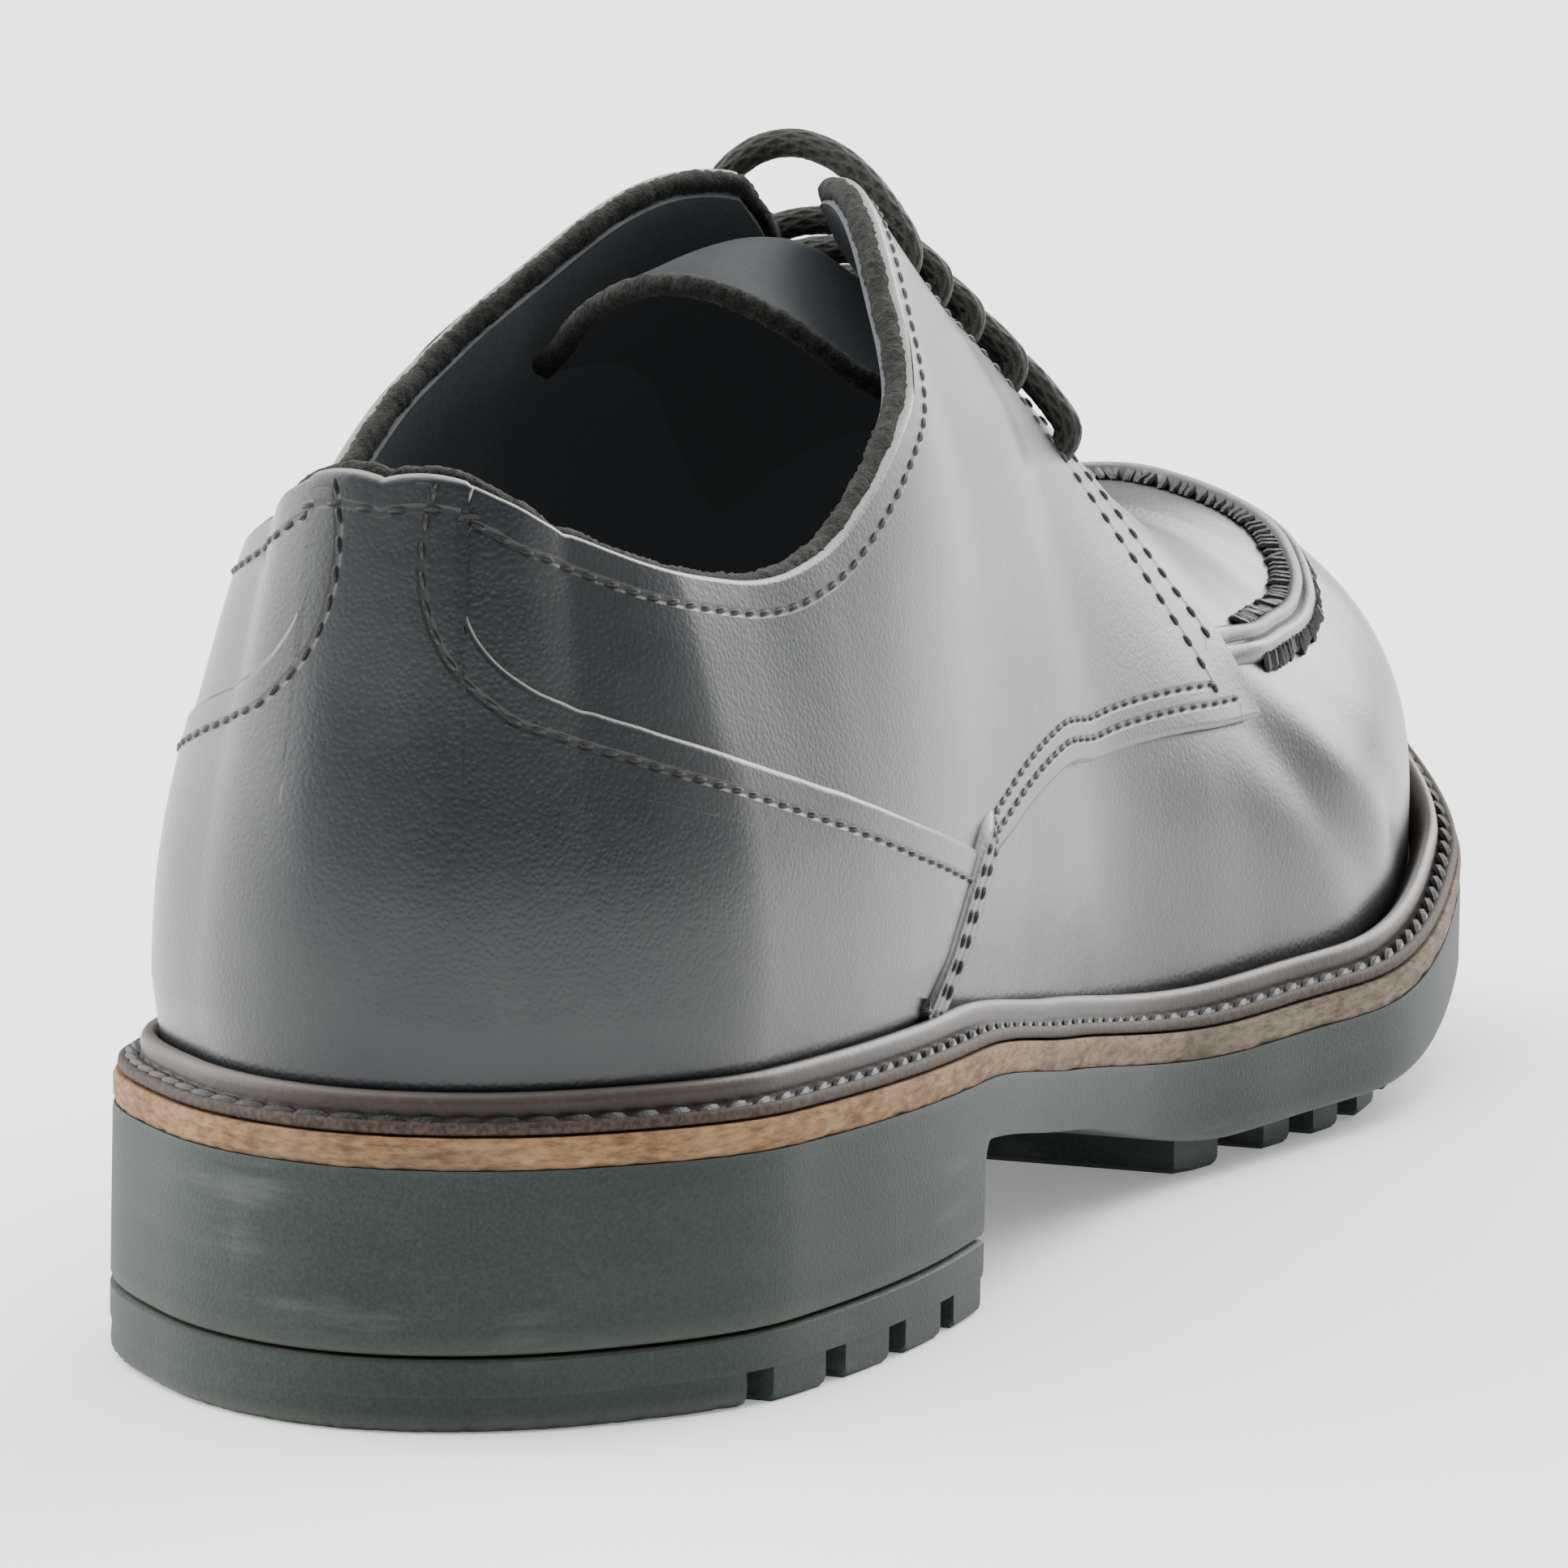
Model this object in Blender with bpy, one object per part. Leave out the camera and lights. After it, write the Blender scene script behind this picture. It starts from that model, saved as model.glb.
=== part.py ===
"""Moc-toe derby shoe, left foot: storm-welted leather upper on a lugged rubber sole.

The shoe stands on its sole with the toe towards +X, its outer side towards +Y and up
along +Z. Lengths are metres. The upper, its overlays, the tongue and the laces all come
from one last surface, last_point(), which is worked out from the tables below.
"""

import math
from collections import namedtuple

import bmesh
import bpy
from mathutils import Vector

# Driving sizes of the sole
SOLE_LENGTH = 0.302
BALL_WIDTH = 0.105
TOE_SWING = 0.0045
SWING_START = 0.35
HEEL_BREAST = 0.088
HEEL_STACK = 0.0276
BREAST_STACK = 0.0250
WAIST_STACK = 0.0197
WAIST_PLACE = 0.42
FLAT_START = 0.59
FLAT_END = 0.68
TOE_SPRING = 0.0195
SPRING_PLACE = 0.82
SPRING_SHARE = 0.25
PLATE_THICKNESS = 0.0095
BREAST_PLATE = 0.0068
BREAST_ROUND = 0.0035
WAIST_JOIN = 0.0077
LIFT_HEIGHT = 0.0078
LUG_HEIGHT = 0.0042
HEEL_LUG_HEIGHT = 0.0038
LUG_INSET = 0.0045
LUG_ROOT = 0.0010
HEEL_LUG_ROWS = 4
HEEL_LUG_PITCH = 0.0150
HEEL_LUG_GAP = 0.0042
MIDSOLE_THICKNESS = 0.0031
EDGE_ROUND = 0.0008

# Driving sizes of the storm welt and insole
WELT_THICKNESS = 0.0013
WELT_LEDGE = 0.0030
RIDGE_HEIGHT = 0.0040
RIDGE_FOOT = 0.0020
RIDGE_TOP = 0.0013
RIDGE_LEAN = 0.0003
RIDGE_SHOULDER = 0.0010
WELT_EDGE_INSET = 0.0006
INSOLE_THICKNESS = 0.0030

# Driving sizes of the upper
WALL = 0.0020
OVERLAY = 0.0013
OVERLAY_SKIVE = 0.0003
SKIVE_HEIGHT = 0.0100
COUNTER_EXTRA = 0.0005
INSTEP_HEIGHT = 0.0965
HEEL_SPINE = 0.0330
TOE_SPINE = 0.0600
SIDE_SWELL = 0.030
SWELL_HEIGHT = 0.046
UPPER_ROWS = 12
QUARTER_ROWS = 10
COUNTER_ROWS = 8
APRON_RIDGE = 0.0016
APRON_RIDGE_WIDTH = 0.0050
APRON_CREST_WIDTH = 0.0030
APRON_SKIRT = 0.0004
TONGUE_THICKNESS = 0.0022
TONGUE_GAP = 0.0009
TONGUE_TOP = 0.345
TONGUE_CORNER = 0.040
TONGUE_ROOT = 0.620
TONGUE_FREE = 0.500
TONGUE_EDGE = 0.440
TONGUE_ROOT_EDGE = 0.620
TONGUE_SAG = 0.0235
TONGUE_BEND = 1.2
TONGUE_ARCH = 2.4
TONGUE_COLUMNS = 11
TONGUE_ROWS = 10
APRON_POINTS = 19
LACE_DIAMETER = 0.0032
LACE_LIFT = 0.0006
LACE_BEVEL = 2
EYELET_DIAMETER = 0.0046
EYELET_SIDES = 8
EYELET_TO_EDGE = 0.115
PUNCH_REACH = 0.0050
BAR_SLACK = 0.0
ARCH_SLACK = 0.0060

# Clearances between touching pieces
GAP = 0.0003
FEATHER_CLEARANCE = 0.0012
SEAM_GAP = 0.0004
LAYER_GAP = 0.0005

# Steps for slopes and normals, and the mesh's merging and shading limits
ANGLE_STEP = 0.004
NORMAL_STEP = 0.006
RIDGE_RISE = 0.998
RIDGE_STEP = 0.002
RISE_WEIGHT = 0.35
ROW_CROWDING = 0.5
MERGE_DISTANCE = 0.00002
SHORTEST_EDGE = 0.00001
SHARP_DEGREES = 40.0

# Numbers of stations and points along each piece
EDGE_SAMPLES = 400
HEEL_STATIONS = 14
WAIST_STATIONS = 30
LIFT_STATIONS = 14
TREAD_STATIONS = 9
LUG_STATIONS = 3
MIDSOLE_STATIONS = 46
WELT_STATIONS = 34
INSOLE_STATIONS = 26
COLLAR_POINTS = 19
SLOT_SIDE_POINTS = 6
SLOT_POINTS = 4
RIDGE_POINTS = 11
SEAM_POINTS = 15
FRONT_POINTS = 12
QUARTER_COLLAR_POINTS = 18
FACING_POINTS = 12
STRAP_POINTS = 4

OutlineRow = namedtuple("OutlineRow", "along inner outer")
BreastRow = namedtuple("BreastRow", "forward drop")
LugRow = namedtuple("LugRow", "back front")
LugColumn = namedtuple("LugColumn", "inner outer")
LaceRow = namedtuple("LaceRow", "to_edge to_ridge height slack")
SectionRow = namedtuple("SectionRow", "along crest fullness")
EdgeRow = namedtuple("EdgeRow", "along rise")

# Half widths of the sole edge from its centre line, as shares of BALL_WIDTH
OUTLINE = (
    OutlineRow(0.00, 0.000, 0.000),
    OutlineRow(0.04, 0.228, 0.228),
    OutlineRow(0.12, 0.360, 0.362),
    OutlineRow(0.25, 0.400, 0.386),
    OutlineRow(0.38, 0.383, 0.378),
    OutlineRow(0.50, 0.375, 0.443),
    OutlineRow(0.62, 0.428, 0.512),
    OutlineRow(0.72, 0.473, 0.523),
    OutlineRow(0.84, 0.420, 0.432),
    OutlineRow(0.94, 0.267, 0.272),
    OutlineRow(1.00, 0.000, 0.000),
)

# Sections of the rounded corner between the heel's breast and the waist, as shares of
# BREAST_ROUND
BREAST = (
    BreastRow(0.08, 1.00),
    BreastRow(0.35, 0.32),
    BreastRow(1.00, 0.00),
)

# Rows of forefoot lugs as shares of SOLE_LENGTH, and their columns as shares of the
# sole's width
LUG_ROWS = (
    LugRow(0.5646, 0.5970),
    LugRow(0.6331, 0.6523),
    LugRow(0.6705, 0.6897),
    LugRow(0.7079, 0.7272),
    LugRow(0.7454, 0.7646),
    LugRow(0.7828, 0.8020),
    LugRow(0.8202, 0.8394),
    LugRow(0.8576, 0.8768),
    LugRow(0.8950, 0.9142),
)
LUG_COLUMNS = (
    LugColumn(0.00, 0.31),
    LugColumn(0.37, 0.63),
    LugColumn(0.69, 1.00),
)

# Height of the last's ridge over the feather line, as shares of INSTEP_HEIGHT, and the
# exponent that squares the section's shoulders
SECTIONS = (
    SectionRow(0.000, 1.26, 1.85),
    SectionRow(0.020, 1.15, 1.85),
    SectionRow(0.045, 0.95, 1.85),
    SectionRow(0.110, 0.86, 1.85),
    SectionRow(0.150, 0.88, 1.85),
    SectionRow(0.210, 0.98, 1.90),
    SectionRow(0.320, 1.13, 2.10),
    SectionRow(0.380, 1.09, 2.00),
    SectionRow(0.457, 1.00, 2.00),
    SectionRow(0.510, 0.91, 1.90),
    SectionRow(0.566, 0.80, 1.90),
    SectionRow(0.612, 0.715, 1.90),
    SectionRow(0.662, 0.635, 1.95),
    SectionRow(0.712, 0.55, 2.05),
    SectionRow(0.775, 0.475, 2.30),
    SectionRow(1.000, 0.475, 2.50),
)

# Seams on the last: place along it and rise from the feather line (0) to the ridge (1)
COLLAR = (
    EdgeRow(0.000, 0.385),
    EdgeRow(0.0105, 0.402),
    EdgeRow(0.030, 0.432),
    EdgeRow(0.048, 0.467),
    EdgeRow(0.073, 0.487),
    EdgeRow(0.130, 0.473),
    EdgeRow(0.170, 0.429),
    EdgeRow(0.211, 0.394),
    EdgeRow(0.255, 0.376),
    EdgeRow(0.307, 0.385),
    EdgeRow(0.335, 0.430),
    EdgeRow(0.362, 0.505),
    EdgeRow(0.407, 0.620),
    EdgeRow(0.444, 0.748),
    EdgeRow(0.475, 0.860),
)
FACING = (
    EdgeRow(0.475, 0.860),
    EdgeRow(0.490, 0.880),
    EdgeRow(0.530, 0.850),
    EdgeRow(0.570, 0.775),
    EdgeRow(0.602, 0.665),
    EdgeRow(0.628, 0.550),
    EdgeRow(0.648, 0.445),
    EdgeRow(0.656, 0.338),
)
SLOT_END = (
    EdgeRow(0.570, 0.775),
    EdgeRow(0.596, 0.850),
    EdgeRow(0.604, 1.000),
)
VAMP_FOOT = 0.290
VAMP_FRONT = (
    EdgeRow(0.357, 0.108),
    EdgeRow(0.380, 0.126),
    EdgeRow(0.423, 0.162),
    EdgeRow(0.470, 0.206),
    EdgeRow(0.517, 0.245),
    EdgeRow(0.585, 0.298),
    EdgeRow(0.656, 0.338),
)
COUNTER_SEAM = (
    EdgeRow(0.0105, 0.402),
    EdgeRow(0.0107, 0.350),
    EdgeRow(0.0125, 0.318),
    EdgeRow(0.028, 0.302),
    EdgeRow(0.062, 0.320),
    EdgeRow(0.124, 0.300),
    EdgeRow(0.205, 0.215),
    EdgeRow(0.280, 0.146),
    EdgeRow(0.320, 0.123),
    EdgeRow(0.357, 0.108),
)
EYELETS = (
    EdgeRow(0.492, 0.765),
    EdgeRow(0.513, 0.755),
    EdgeRow(0.534, 0.735),
    EdgeRow(0.555, 0.695),
    EdgeRow(0.575, 0.625),
)
APRON = (
    EdgeRow(0.666, 0.437),
    EdgeRow(0.681, 0.449),
    EdgeRow(0.719, 0.490),
    EdgeRow(0.798, 0.560),
    EdgeRow(0.865, 0.640),
    EdgeRow(0.925, 0.733),
    EdgeRow(0.970, 0.784),
    EdgeRow(1.000, 0.797),
)


# A lace's run from an eyelet to the ridge: shares of the way to the facing's edge and from
# there to the ridge, of its height over the last and of its slack
LACE_RUN = (
    LaceRow(0.00, 0.0, -0.20, 0.00),
    LaceRow(0.00, 0.0, 0.55, 0.00),
    LaceRow(0.15, 0.0, 1.00, 0.00),
    LaceRow(0.60, 0.0, 1.00, 0.25),
    LaceRow(1.00, 0.0, 1.00, 0.55),
    LaceRow(1.00, 0.5, 1.00, 0.85),
    LaceRow(1.00, 1.0, 1.00, 1.00),
)


def angle_of(along):
    """Station angle, 0 at the heel and 1 at the toe, of a place along the sole."""
    return math.acos(1.0 - 2.0 * min(max(along, 0.0), 1.0)) / math.pi


def along_of(angle):
    """Place along the sole, 0 at the heel and 1 at the toe, of a station angle."""
    return (1.0 - math.cos(math.pi * angle)) / 2.0


def curve_through(points, place):
    """Smooth value at a place on a curve through (place, value) points."""
    places = [point[0] for point in points]
    values = [point[1] for point in points]
    last = len(points) - 1
    place = min(max(place, places[0]), places[-1])
    k = max(i for i in range(last) if places[i] <= place or i == 0)
    slopes = [
        (values[i + 1] - values[i]) / (places[i + 1] - places[i]) for i in range(last)
    ]

    def slope_at(i):
        if i in (0, last):
            return slopes[0] if i == 0 else slopes[-1]
        before, after = slopes[i - 1], slopes[i]
        return 0.0 if before * after <= 0.0 else 2.0 * before * after / (before + after)

    span = places[k + 1] - places[k]
    u = (place - places[k]) / span
    return (
        values[k] * (1 + 2 * u) * (1 - u) ** 2
        + slope_at(k) * span * u * (1 - u) ** 2
        + values[k + 1] * u * u * (3 - 2 * u)
        + slope_at(k + 1) * span * u * u * (u - 1)
    )


def column_of(table, name):
    """One named column of a table, placed by station angle."""
    return [(angle_of(row.along), getattr(row, name)) for row in table]


HALF_WIDTHS = {
    -1: column_of(OUTLINE, "inner"),
    1: column_of(OUTLINE, "outer"),
}
CRESTS = [(row.along, row.crest) for row in SECTIONS]
FULLNESS = column_of(SECTIONS, "fullness")


def centre_line(along):
    """Sideways place of the shoe's centre line, which swings inwards at the toe."""
    forward = max(along - SWING_START, 0.0) / (1.0 - SWING_START)
    return -TOE_SWING * forward * forward


def edge_point(side, angle, inset=0.0):
    """Plan point on the sole's edge, moved inwards along its normal by inset."""
    here = bare_edge(side, angle)
    step = ANGLE_STEP
    tangent = bare_edge(side, min(angle + step, 1.0)) - bare_edge(side, max(angle - step, 0.0))
    if angle <= step or angle >= 1.0 - step:
        tangent = Vector((0.0, side if angle <= step else -side, 0.0))
    normal = Vector((tangent.y, -tangent.x, 0.0)).normalized() * side
    return here + normal * inset


def bare_edge(side, angle):
    """Plan point on the sole's edge."""
    along = along_of(angle)
    half = curve_through(HALF_WIDTHS[side], angle) * BALL_WIDTH
    return Vector((along * SOLE_LENGTH, centre_line(along) + side * half, 0.0))


def stack_top(x):
    """Height of the rubber unit's upper face at a place along the shoe."""
    along = x / SOLE_LENGTH
    heights = (
        (0.0, HEEL_STACK),
        (HEEL_BREAST / SOLE_LENGTH, BREAST_STACK),
        (WAIST_PLACE, WAIST_STACK),
        (FLAT_START, PLATE_THICKNESS + LUG_HEIGHT),
        (FLAT_END, PLATE_THICKNESS + LUG_HEIGHT),
        (SPRING_PLACE, PLATE_THICKNESS + LUG_HEIGHT + SPRING_SHARE * TOE_SPRING),
        (1.0, PLATE_THICKNESS + LUG_HEIGHT + TOE_SPRING),
    )
    return curve_through(heights, along)


def midsole_top(x):
    """Height of the midsole's upper face."""
    return stack_top(x) + GAP + MIDSOLE_THICKNESS


FEATHER_INSET = WELT_LEDGE + RIDGE_FOOT + FEATHER_CLEARANCE
TOE_POLE = SOLE_LENGTH - FEATHER_INSET - TOE_SPINE


def crest_height(along):
    """Height of the last's ridge over its feather line, level from the toe's pole on."""
    return curve_through(CRESTS, min(along, TOE_POLE / SOLE_LENGTH)) * INSTEP_HEIGHT


def crest_point(angle):
    """Point of the last's ridge that a station's section runs up to."""
    along = along_of(angle)
    x = min(max(along * SOLE_LENGTH, HEEL_SPINE), TOE_POLE)
    base = midsole_top(x) + GAP
    return Vector((x, centre_line(x / SOLE_LENGTH), base + crest_height(along)))


def bare_last(side, angle, rise):
    """Point of the last's surface, from the feather line (rise 0) to the ridge (1)."""
    foot = edge_point(side, angle, FEATHER_INSET)
    foot.z = midsole_top(foot.x) + GAP
    crest = crest_point(angle)
    power = 2.0 / curve_through(FULLNESS, angle)
    out = max(math.cos(math.pi / 2 * rise), 0.0) ** power
    up = math.sin(math.pi / 2 * rise) ** power
    height = up * (crest.z - foot.z)
    swell = math.sin(math.pi * min(height / SWELL_HEIGHT, 1.0)) ** 2 * SIDE_SWELL
    plan = crest + (foot - crest) * (out + swell * (1.0 - rise * rise))
    return Vector((plan.x, plan.y, foot.z + height))


def last_normal(side, angle, rise):
    """Outward normal of the last's surface."""
    if rise > RIDGE_RISE:
        x = crest_point(angle).x
        ahead, behind = x + RIDGE_STEP, x - RIDGE_STEP
        fall = crest_height(ahead / SOLE_LENGTH) - crest_height(behind / SOLE_LENGTH)
        fall += midsole_top(ahead) - midsole_top(behind)
        return Vector((-fall / (2.0 * RIDGE_STEP), 0.0, 1.0)).normalized()
    step = NORMAL_STEP
    low, high = max(rise - step, 0.0), rise + step
    along_rise = bare_last(side, angle, high) - bare_last(side, angle, low)
    if angle < step or angle > 1.0 - step:
        end = 0.0 if angle < step else 1.0
        near = abs(end - step)
        around = bare_last(1, near, rise) - bare_last(-1, near, rise)
        normal = around.cross(along_rise) if end == 0.0 else along_rise.cross(around)
    else:
        around = bare_last(side, angle + step, rise) - bare_last(side, angle - step, rise)
        normal = along_rise.cross(around) * -side
    normal = normal.normalized()
    outward = bare_last(side, angle, rise) - crest_point(angle)
    outward.z = 0.0
    if normal.dot(outward) < 0.0 and normal.z < 0.5:
        normal = -normal
    return normal


def last_point(side, angle, rise, offset=0.0):
    """Point at an offset from the last's surface, outwards when positive."""
    return bare_last(side, angle, rise) + last_normal(side, angle, rise) * offset


def new_object(name, material, bm):
    """Object in the shoe's collection, from a bmesh whose faces are made to point out."""
    bmesh.ops.remove_doubles(bm, verts=bm.verts, dist=MERGE_DISTANCE)
    bmesh.ops.dissolve_degenerate(bm, dist=SHORTEST_EDGE, edges=bm.edges)
    bmesh.ops.recalc_face_normals(bm, faces=bm.faces)
    mesh = bpy.data.meshes.new(name)
    bm.to_mesh(mesh)
    bm.free()
    mesh.materials.append(material)
    obj = bpy.data.objects.new(name, mesh)
    SHOE.objects.link(obj)
    obj.parent = STAND
    mesh.shade_smooth()
    mesh.set_sharp_from_angle(angle=math.radians(SHARP_DEGREES))
    return obj


def add_grid(bm, grid, wrap=False):
    """Vertices and quads of a grid of points, and the vertices by column and row."""
    verts = [[bm.verts.new(point) for point in column] for column in grid]
    columns = verts + verts[:1] if wrap else verts
    for left, right in zip(columns, columns[1:]):
        for row in range(len(left) - 1):
            bm.faces.new((left[row], right[row], right[row + 1], left[row + 1]))
    return verts


def add_strip(bm, one, other):
    """Quads between two rows of vertices."""
    for k in range(len(one) - 1):
        bm.faces.new((one[k], one[k + 1], other[k + 1], other[k]))


def shell(name, material, outer, inner, wrap=False, open_top=None):
    """Closed wall between two grids of points. open_top says which columns have an edge
    at their top; the others meet the far side's column there."""
    bm = bmesh.new()
    out = add_grid(bm, outer, wrap)
    back = add_grid(bm, inner, wrap)
    count = len(out)
    open_top = open_top or [True] * count
    for k in range(count if wrap else count - 1):
        after = (k + 1) % count
        add_strip(bm, [out[k][0], out[after][0]], [back[k][0], back[after][0]])
        if open_top[k] or open_top[after]:
            add_strip(bm, [out[k][-1], out[after][-1]], [back[k][-1], back[after][-1]])
    if not wrap:
        for k in (0, -1):
            add_strip(bm, out[k], back[k])
    return new_object(name, material, bm)


def loft(name, material, stations, closed=False, caps=(False, False)):
    """Solid through a row of like-numbered closed sections. caps says which ends get a
    face; an end without one has come together in a line."""
    bm = bmesh.new()
    rings = [[bm.verts.new(point) for point in station] for station in stations]
    pairs = list(zip(rings, rings[1:]))
    if closed:
        pairs.append((rings[-1], rings[0]))
    for one, other in pairs:
        add_strip(bm, one + one[:1], other + other[:1])
    for capped, ring in zip(caps, (rings[0], rings[-1])):
        if capped:
            bm.faces.new(ring)
    return new_object(name, material, bm)


def spread(first, last, count):
    """Evenly spaced values from first to last, both included."""
    return [first + (last - first) * k / (count - 1) for k in range(count)]


def trace(table, count):
    """Domain points (angle, rise) spread along a seam given by a table."""
    points = [(angle_of(row.along), row.rise) for row in table]
    run = [0.0]
    for one, other in zip(points, points[1:]):
        run.append(run[-1] + math.hypot(other[0] - one[0], (other[1] - one[1]) * RISE_WEIGHT))
    angles = list(zip(run, [point[0] for point in points]))
    rises = list(zip(run, [point[1] for point in points]))
    return [
        (curve_through(angles, place), curve_through(rises, place))
        for place in spread(0.0, run[-1], count)
    ]


def beside(side, path, distance):
    """The path moved sideways over the last's surface, to the left of its run when
    positive, seen from outside."""
    moved = []
    for k, (angle, rise) in enumerate(path):
        before, after = path[max(k - 1, 0)], path[min(k + 1, len(path) - 1)]
        run = bare_last(side, *after) - bare_last(side, *before)
        away = last_normal(side, angle, rise).cross(run).normalized() * distance
        step = ANGLE_STEP
        by_angle = (
            bare_last(side, angle + step, rise) - bare_last(side, angle - step, rise)
        ) / (2 * step)
        by_rise = (
            bare_last(side, angle, rise + step) - bare_last(side, angle, rise - step)
        ) / (2 * step)
        aa, ar, rr = by_angle.dot(by_angle), by_angle.dot(by_rise), by_rise.dot(by_rise)
        fa, fr = away.dot(by_angle), away.dot(by_rise)
        scale = aa * rr - ar * ar
        moved.append(
            (angle + (fa * rr - fr * ar) / scale, rise + (fr * aa - fa * ar) / scale)
        )
    return moved


def ruled(low, high, rows):
    """Domain points of a patch, column by column, between two seams. Rows lie closer
    together towards the high seam, where the last curves more."""
    return [
        [
            (
                foot[0] + (head[0] - foot[0]) * share,
                foot[1] + (head[1] - foot[1]) * share,
            )
            for share in (
                (1.0 + ROW_CROWDING) * t - ROW_CROWDING * t * t
                for t in spread(0.0, 1.0, rows)
            )
        ]
        for foot, head in zip(low, high)
    ]


def overlay_grids(side, domain, thickness):
    """Outer and inner faces of an overlay, skived where the welt's ridge presses it."""
    outer, inner = [], []
    for column in domain:
        outer.append([])
        inner.append([])
        for angle, rise in column:
            height = bare_last(side, angle, rise).z - bare_last(side, angle, 0.0).z
            full = min(height / SKIVE_HEIGHT, 1.0)
            thick = OVERLAY_SKIVE + (thickness - OVERLAY_SKIVE) * full
            inner[-1].append(last_point(side, angle, rise, LAYER_GAP))
            outer[-1].append(last_point(side, angle, rise, LAYER_GAP + thick))
    return outer, inner


def sole_section(angle, low, high, bottom_inset=EDGE_ROUND):
    """Six-point section across the sole between two heights, given as functions of x."""
    points = []
    for side, inset, height in (
        (-1, bottom_inset, low),
        (-1, 0.0, lambda x: low(x) + bottom_inset),
        (-1, 0.0, high),
        (1, 0.0, high),
        (1, 0.0, lambda x: low(x) + bottom_inset),
        (1, bottom_inset, low),
    ):
        point = edge_point(side, angle, inset)
        point.z = height(point.x)
        points.append(point)
    return points


def flat(height):
    """A height that is the same all along the shoe."""
    return lambda x: height


def plate_bottom(x):
    """Height of the sole plate's underside in front of the heel."""
    along = x / SOLE_LENGTH
    thick = curve_through(
        (
            (HEEL_BREAST / SOLE_LENGTH, BREAST_PLATE),
            (WAIST_PLACE, BREAST_PLATE),
            (FLAT_START, PLATE_THICKNESS),
            (1.0, PLATE_THICKNESS),
        ),
        along,
    )
    return stack_top(x) - thick


def tread_blocks(rows, inset, low, high):
    """Tread lugs in rows given as (start, end), in columns over the sole's width."""
    bm = bmesh.new()
    for start, end in rows:
        for column in LUG_COLUMNS:
            rings = []
            for x in spread(start, end, LUG_STATIONS):
                angle = angle_of(x / SOLE_LENGTH)
                inner, outer = edge_point(-1, angle, inset), edge_point(1, angle, inset)
                near, far = inner.lerp(outer, column.inner), inner.lerp(outer, column.outer)
                near.x = far.x = x
                corners = []
                for point, height in ((near, low), (near, high), (far, high), (far, low)):
                    corners.append(Vector((point.x, point.y, height(x))))
                rings.append([bm.verts.new(corner) for corner in corners])
            for one, other in zip(rings, rings[1:]):
                add_strip(bm, one + one[:1], other + other[:1])
            bm.faces.new(rings[0])
            bm.faces.new(rings[-1])
    return bm


def move_to_tools(tool):
    """Moves a Boolean's tool out of the shoe's collection and hides it."""
    SHOE.objects.unlink(tool)
    TOOLS.objects.link(tool)
    tool.hide_render = True
    tool.display_type = "WIRE"


def joined(body, bm, name):
    """Joins a bmesh to a body with a Boolean union."""
    tool = new_object(name, body.data.materials[0], bm)
    move_to_tools(tool)
    union = body.modifiers.new("lugs", "BOOLEAN")
    union.operation = "UNION"
    union.object = tool


def make_outsole():
    """Rubber unit: heel block, waist, forefoot plate and its lugs."""
    seat = flat(LIFT_HEIGHT + GAP)
    heel_angles = spread(0.0, angle_of(HEEL_BREAST / SOLE_LENGTH), HEEL_STATIONS)
    sections = [sole_section(angle, seat, stack_top, GAP) for angle in heel_angles]
    breast = plate_bottom(HEEL_BREAST)
    for row in BREAST:
        angle = angle_of((HEEL_BREAST + row.forward * BREAST_ROUND) / SOLE_LENGTH)
        low = flat(breast - row.drop * BREAST_ROUND)
        sections.append(sole_section(angle, low, stack_top))
    waist_angle = angle_of((HEEL_BREAST + WAIST_JOIN) / SOLE_LENGTH)
    for angle in spread(waist_angle, 1.0, WAIST_STATIONS):
        sections.append(sole_section(angle, plate_bottom, stack_top))
    body = loft("outsole", RUBBER, sections)
    rows = [LugRow(row.back * SOLE_LENGTH, row.front * SOLE_LENGTH) for row in LUG_ROWS]
    blocks = tread_blocks(
        rows,
        LUG_INSET,
        lambda x: plate_bottom(x) - LUG_HEIGHT,
        lambda x: plate_bottom(x) + LUG_ROOT,
    )
    joined(body, blocks, "forefoot_lugs")


def make_heel_lift():
    """Rubber top piece of the heel, plain at the back and lugged towards the breast."""
    front = angle_of(HEEL_BREAST / SOLE_LENGTH)
    sections = [
        sole_section(angle, flat(HEEL_LUG_HEIGHT), flat(LIFT_HEIGHT), GAP)
        for angle in spread(0.0, front, LIFT_STATIONS)
    ]
    body = loft("heel_lift", RUBBER, sections, caps=(False, True))
    fronts = [HEEL_BREAST - k * HEEL_LUG_PITCH for k in range(HEEL_LUG_ROWS)]
    rows = [(x - HEEL_LUG_PITCH + HEEL_LUG_GAP, x - GAP) for x in fronts]
    back_end = rows[-1][0] - HEEL_LUG_GAP
    bm = tread_blocks(rows, EDGE_ROUND, flat(0.0), flat(HEEL_LUG_HEIGHT + LUG_ROOT))
    rings = []
    for angle in spread(0.0, angle_of(back_end / SOLE_LENGTH), TREAD_STATIONS):
        section = sole_section(
            angle, flat(0.0), flat(HEEL_LUG_HEIGHT + LUG_ROOT), EDGE_ROUND
        )
        rings.append([bm.verts.new(point) for point in section])
    for one, other in zip(rings, rings[1:]):
        add_strip(bm, one + one[:1], other + other[:1])
    bm.faces.new(rings[-1])
    joined(body, bm, "heel_tread")


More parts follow.
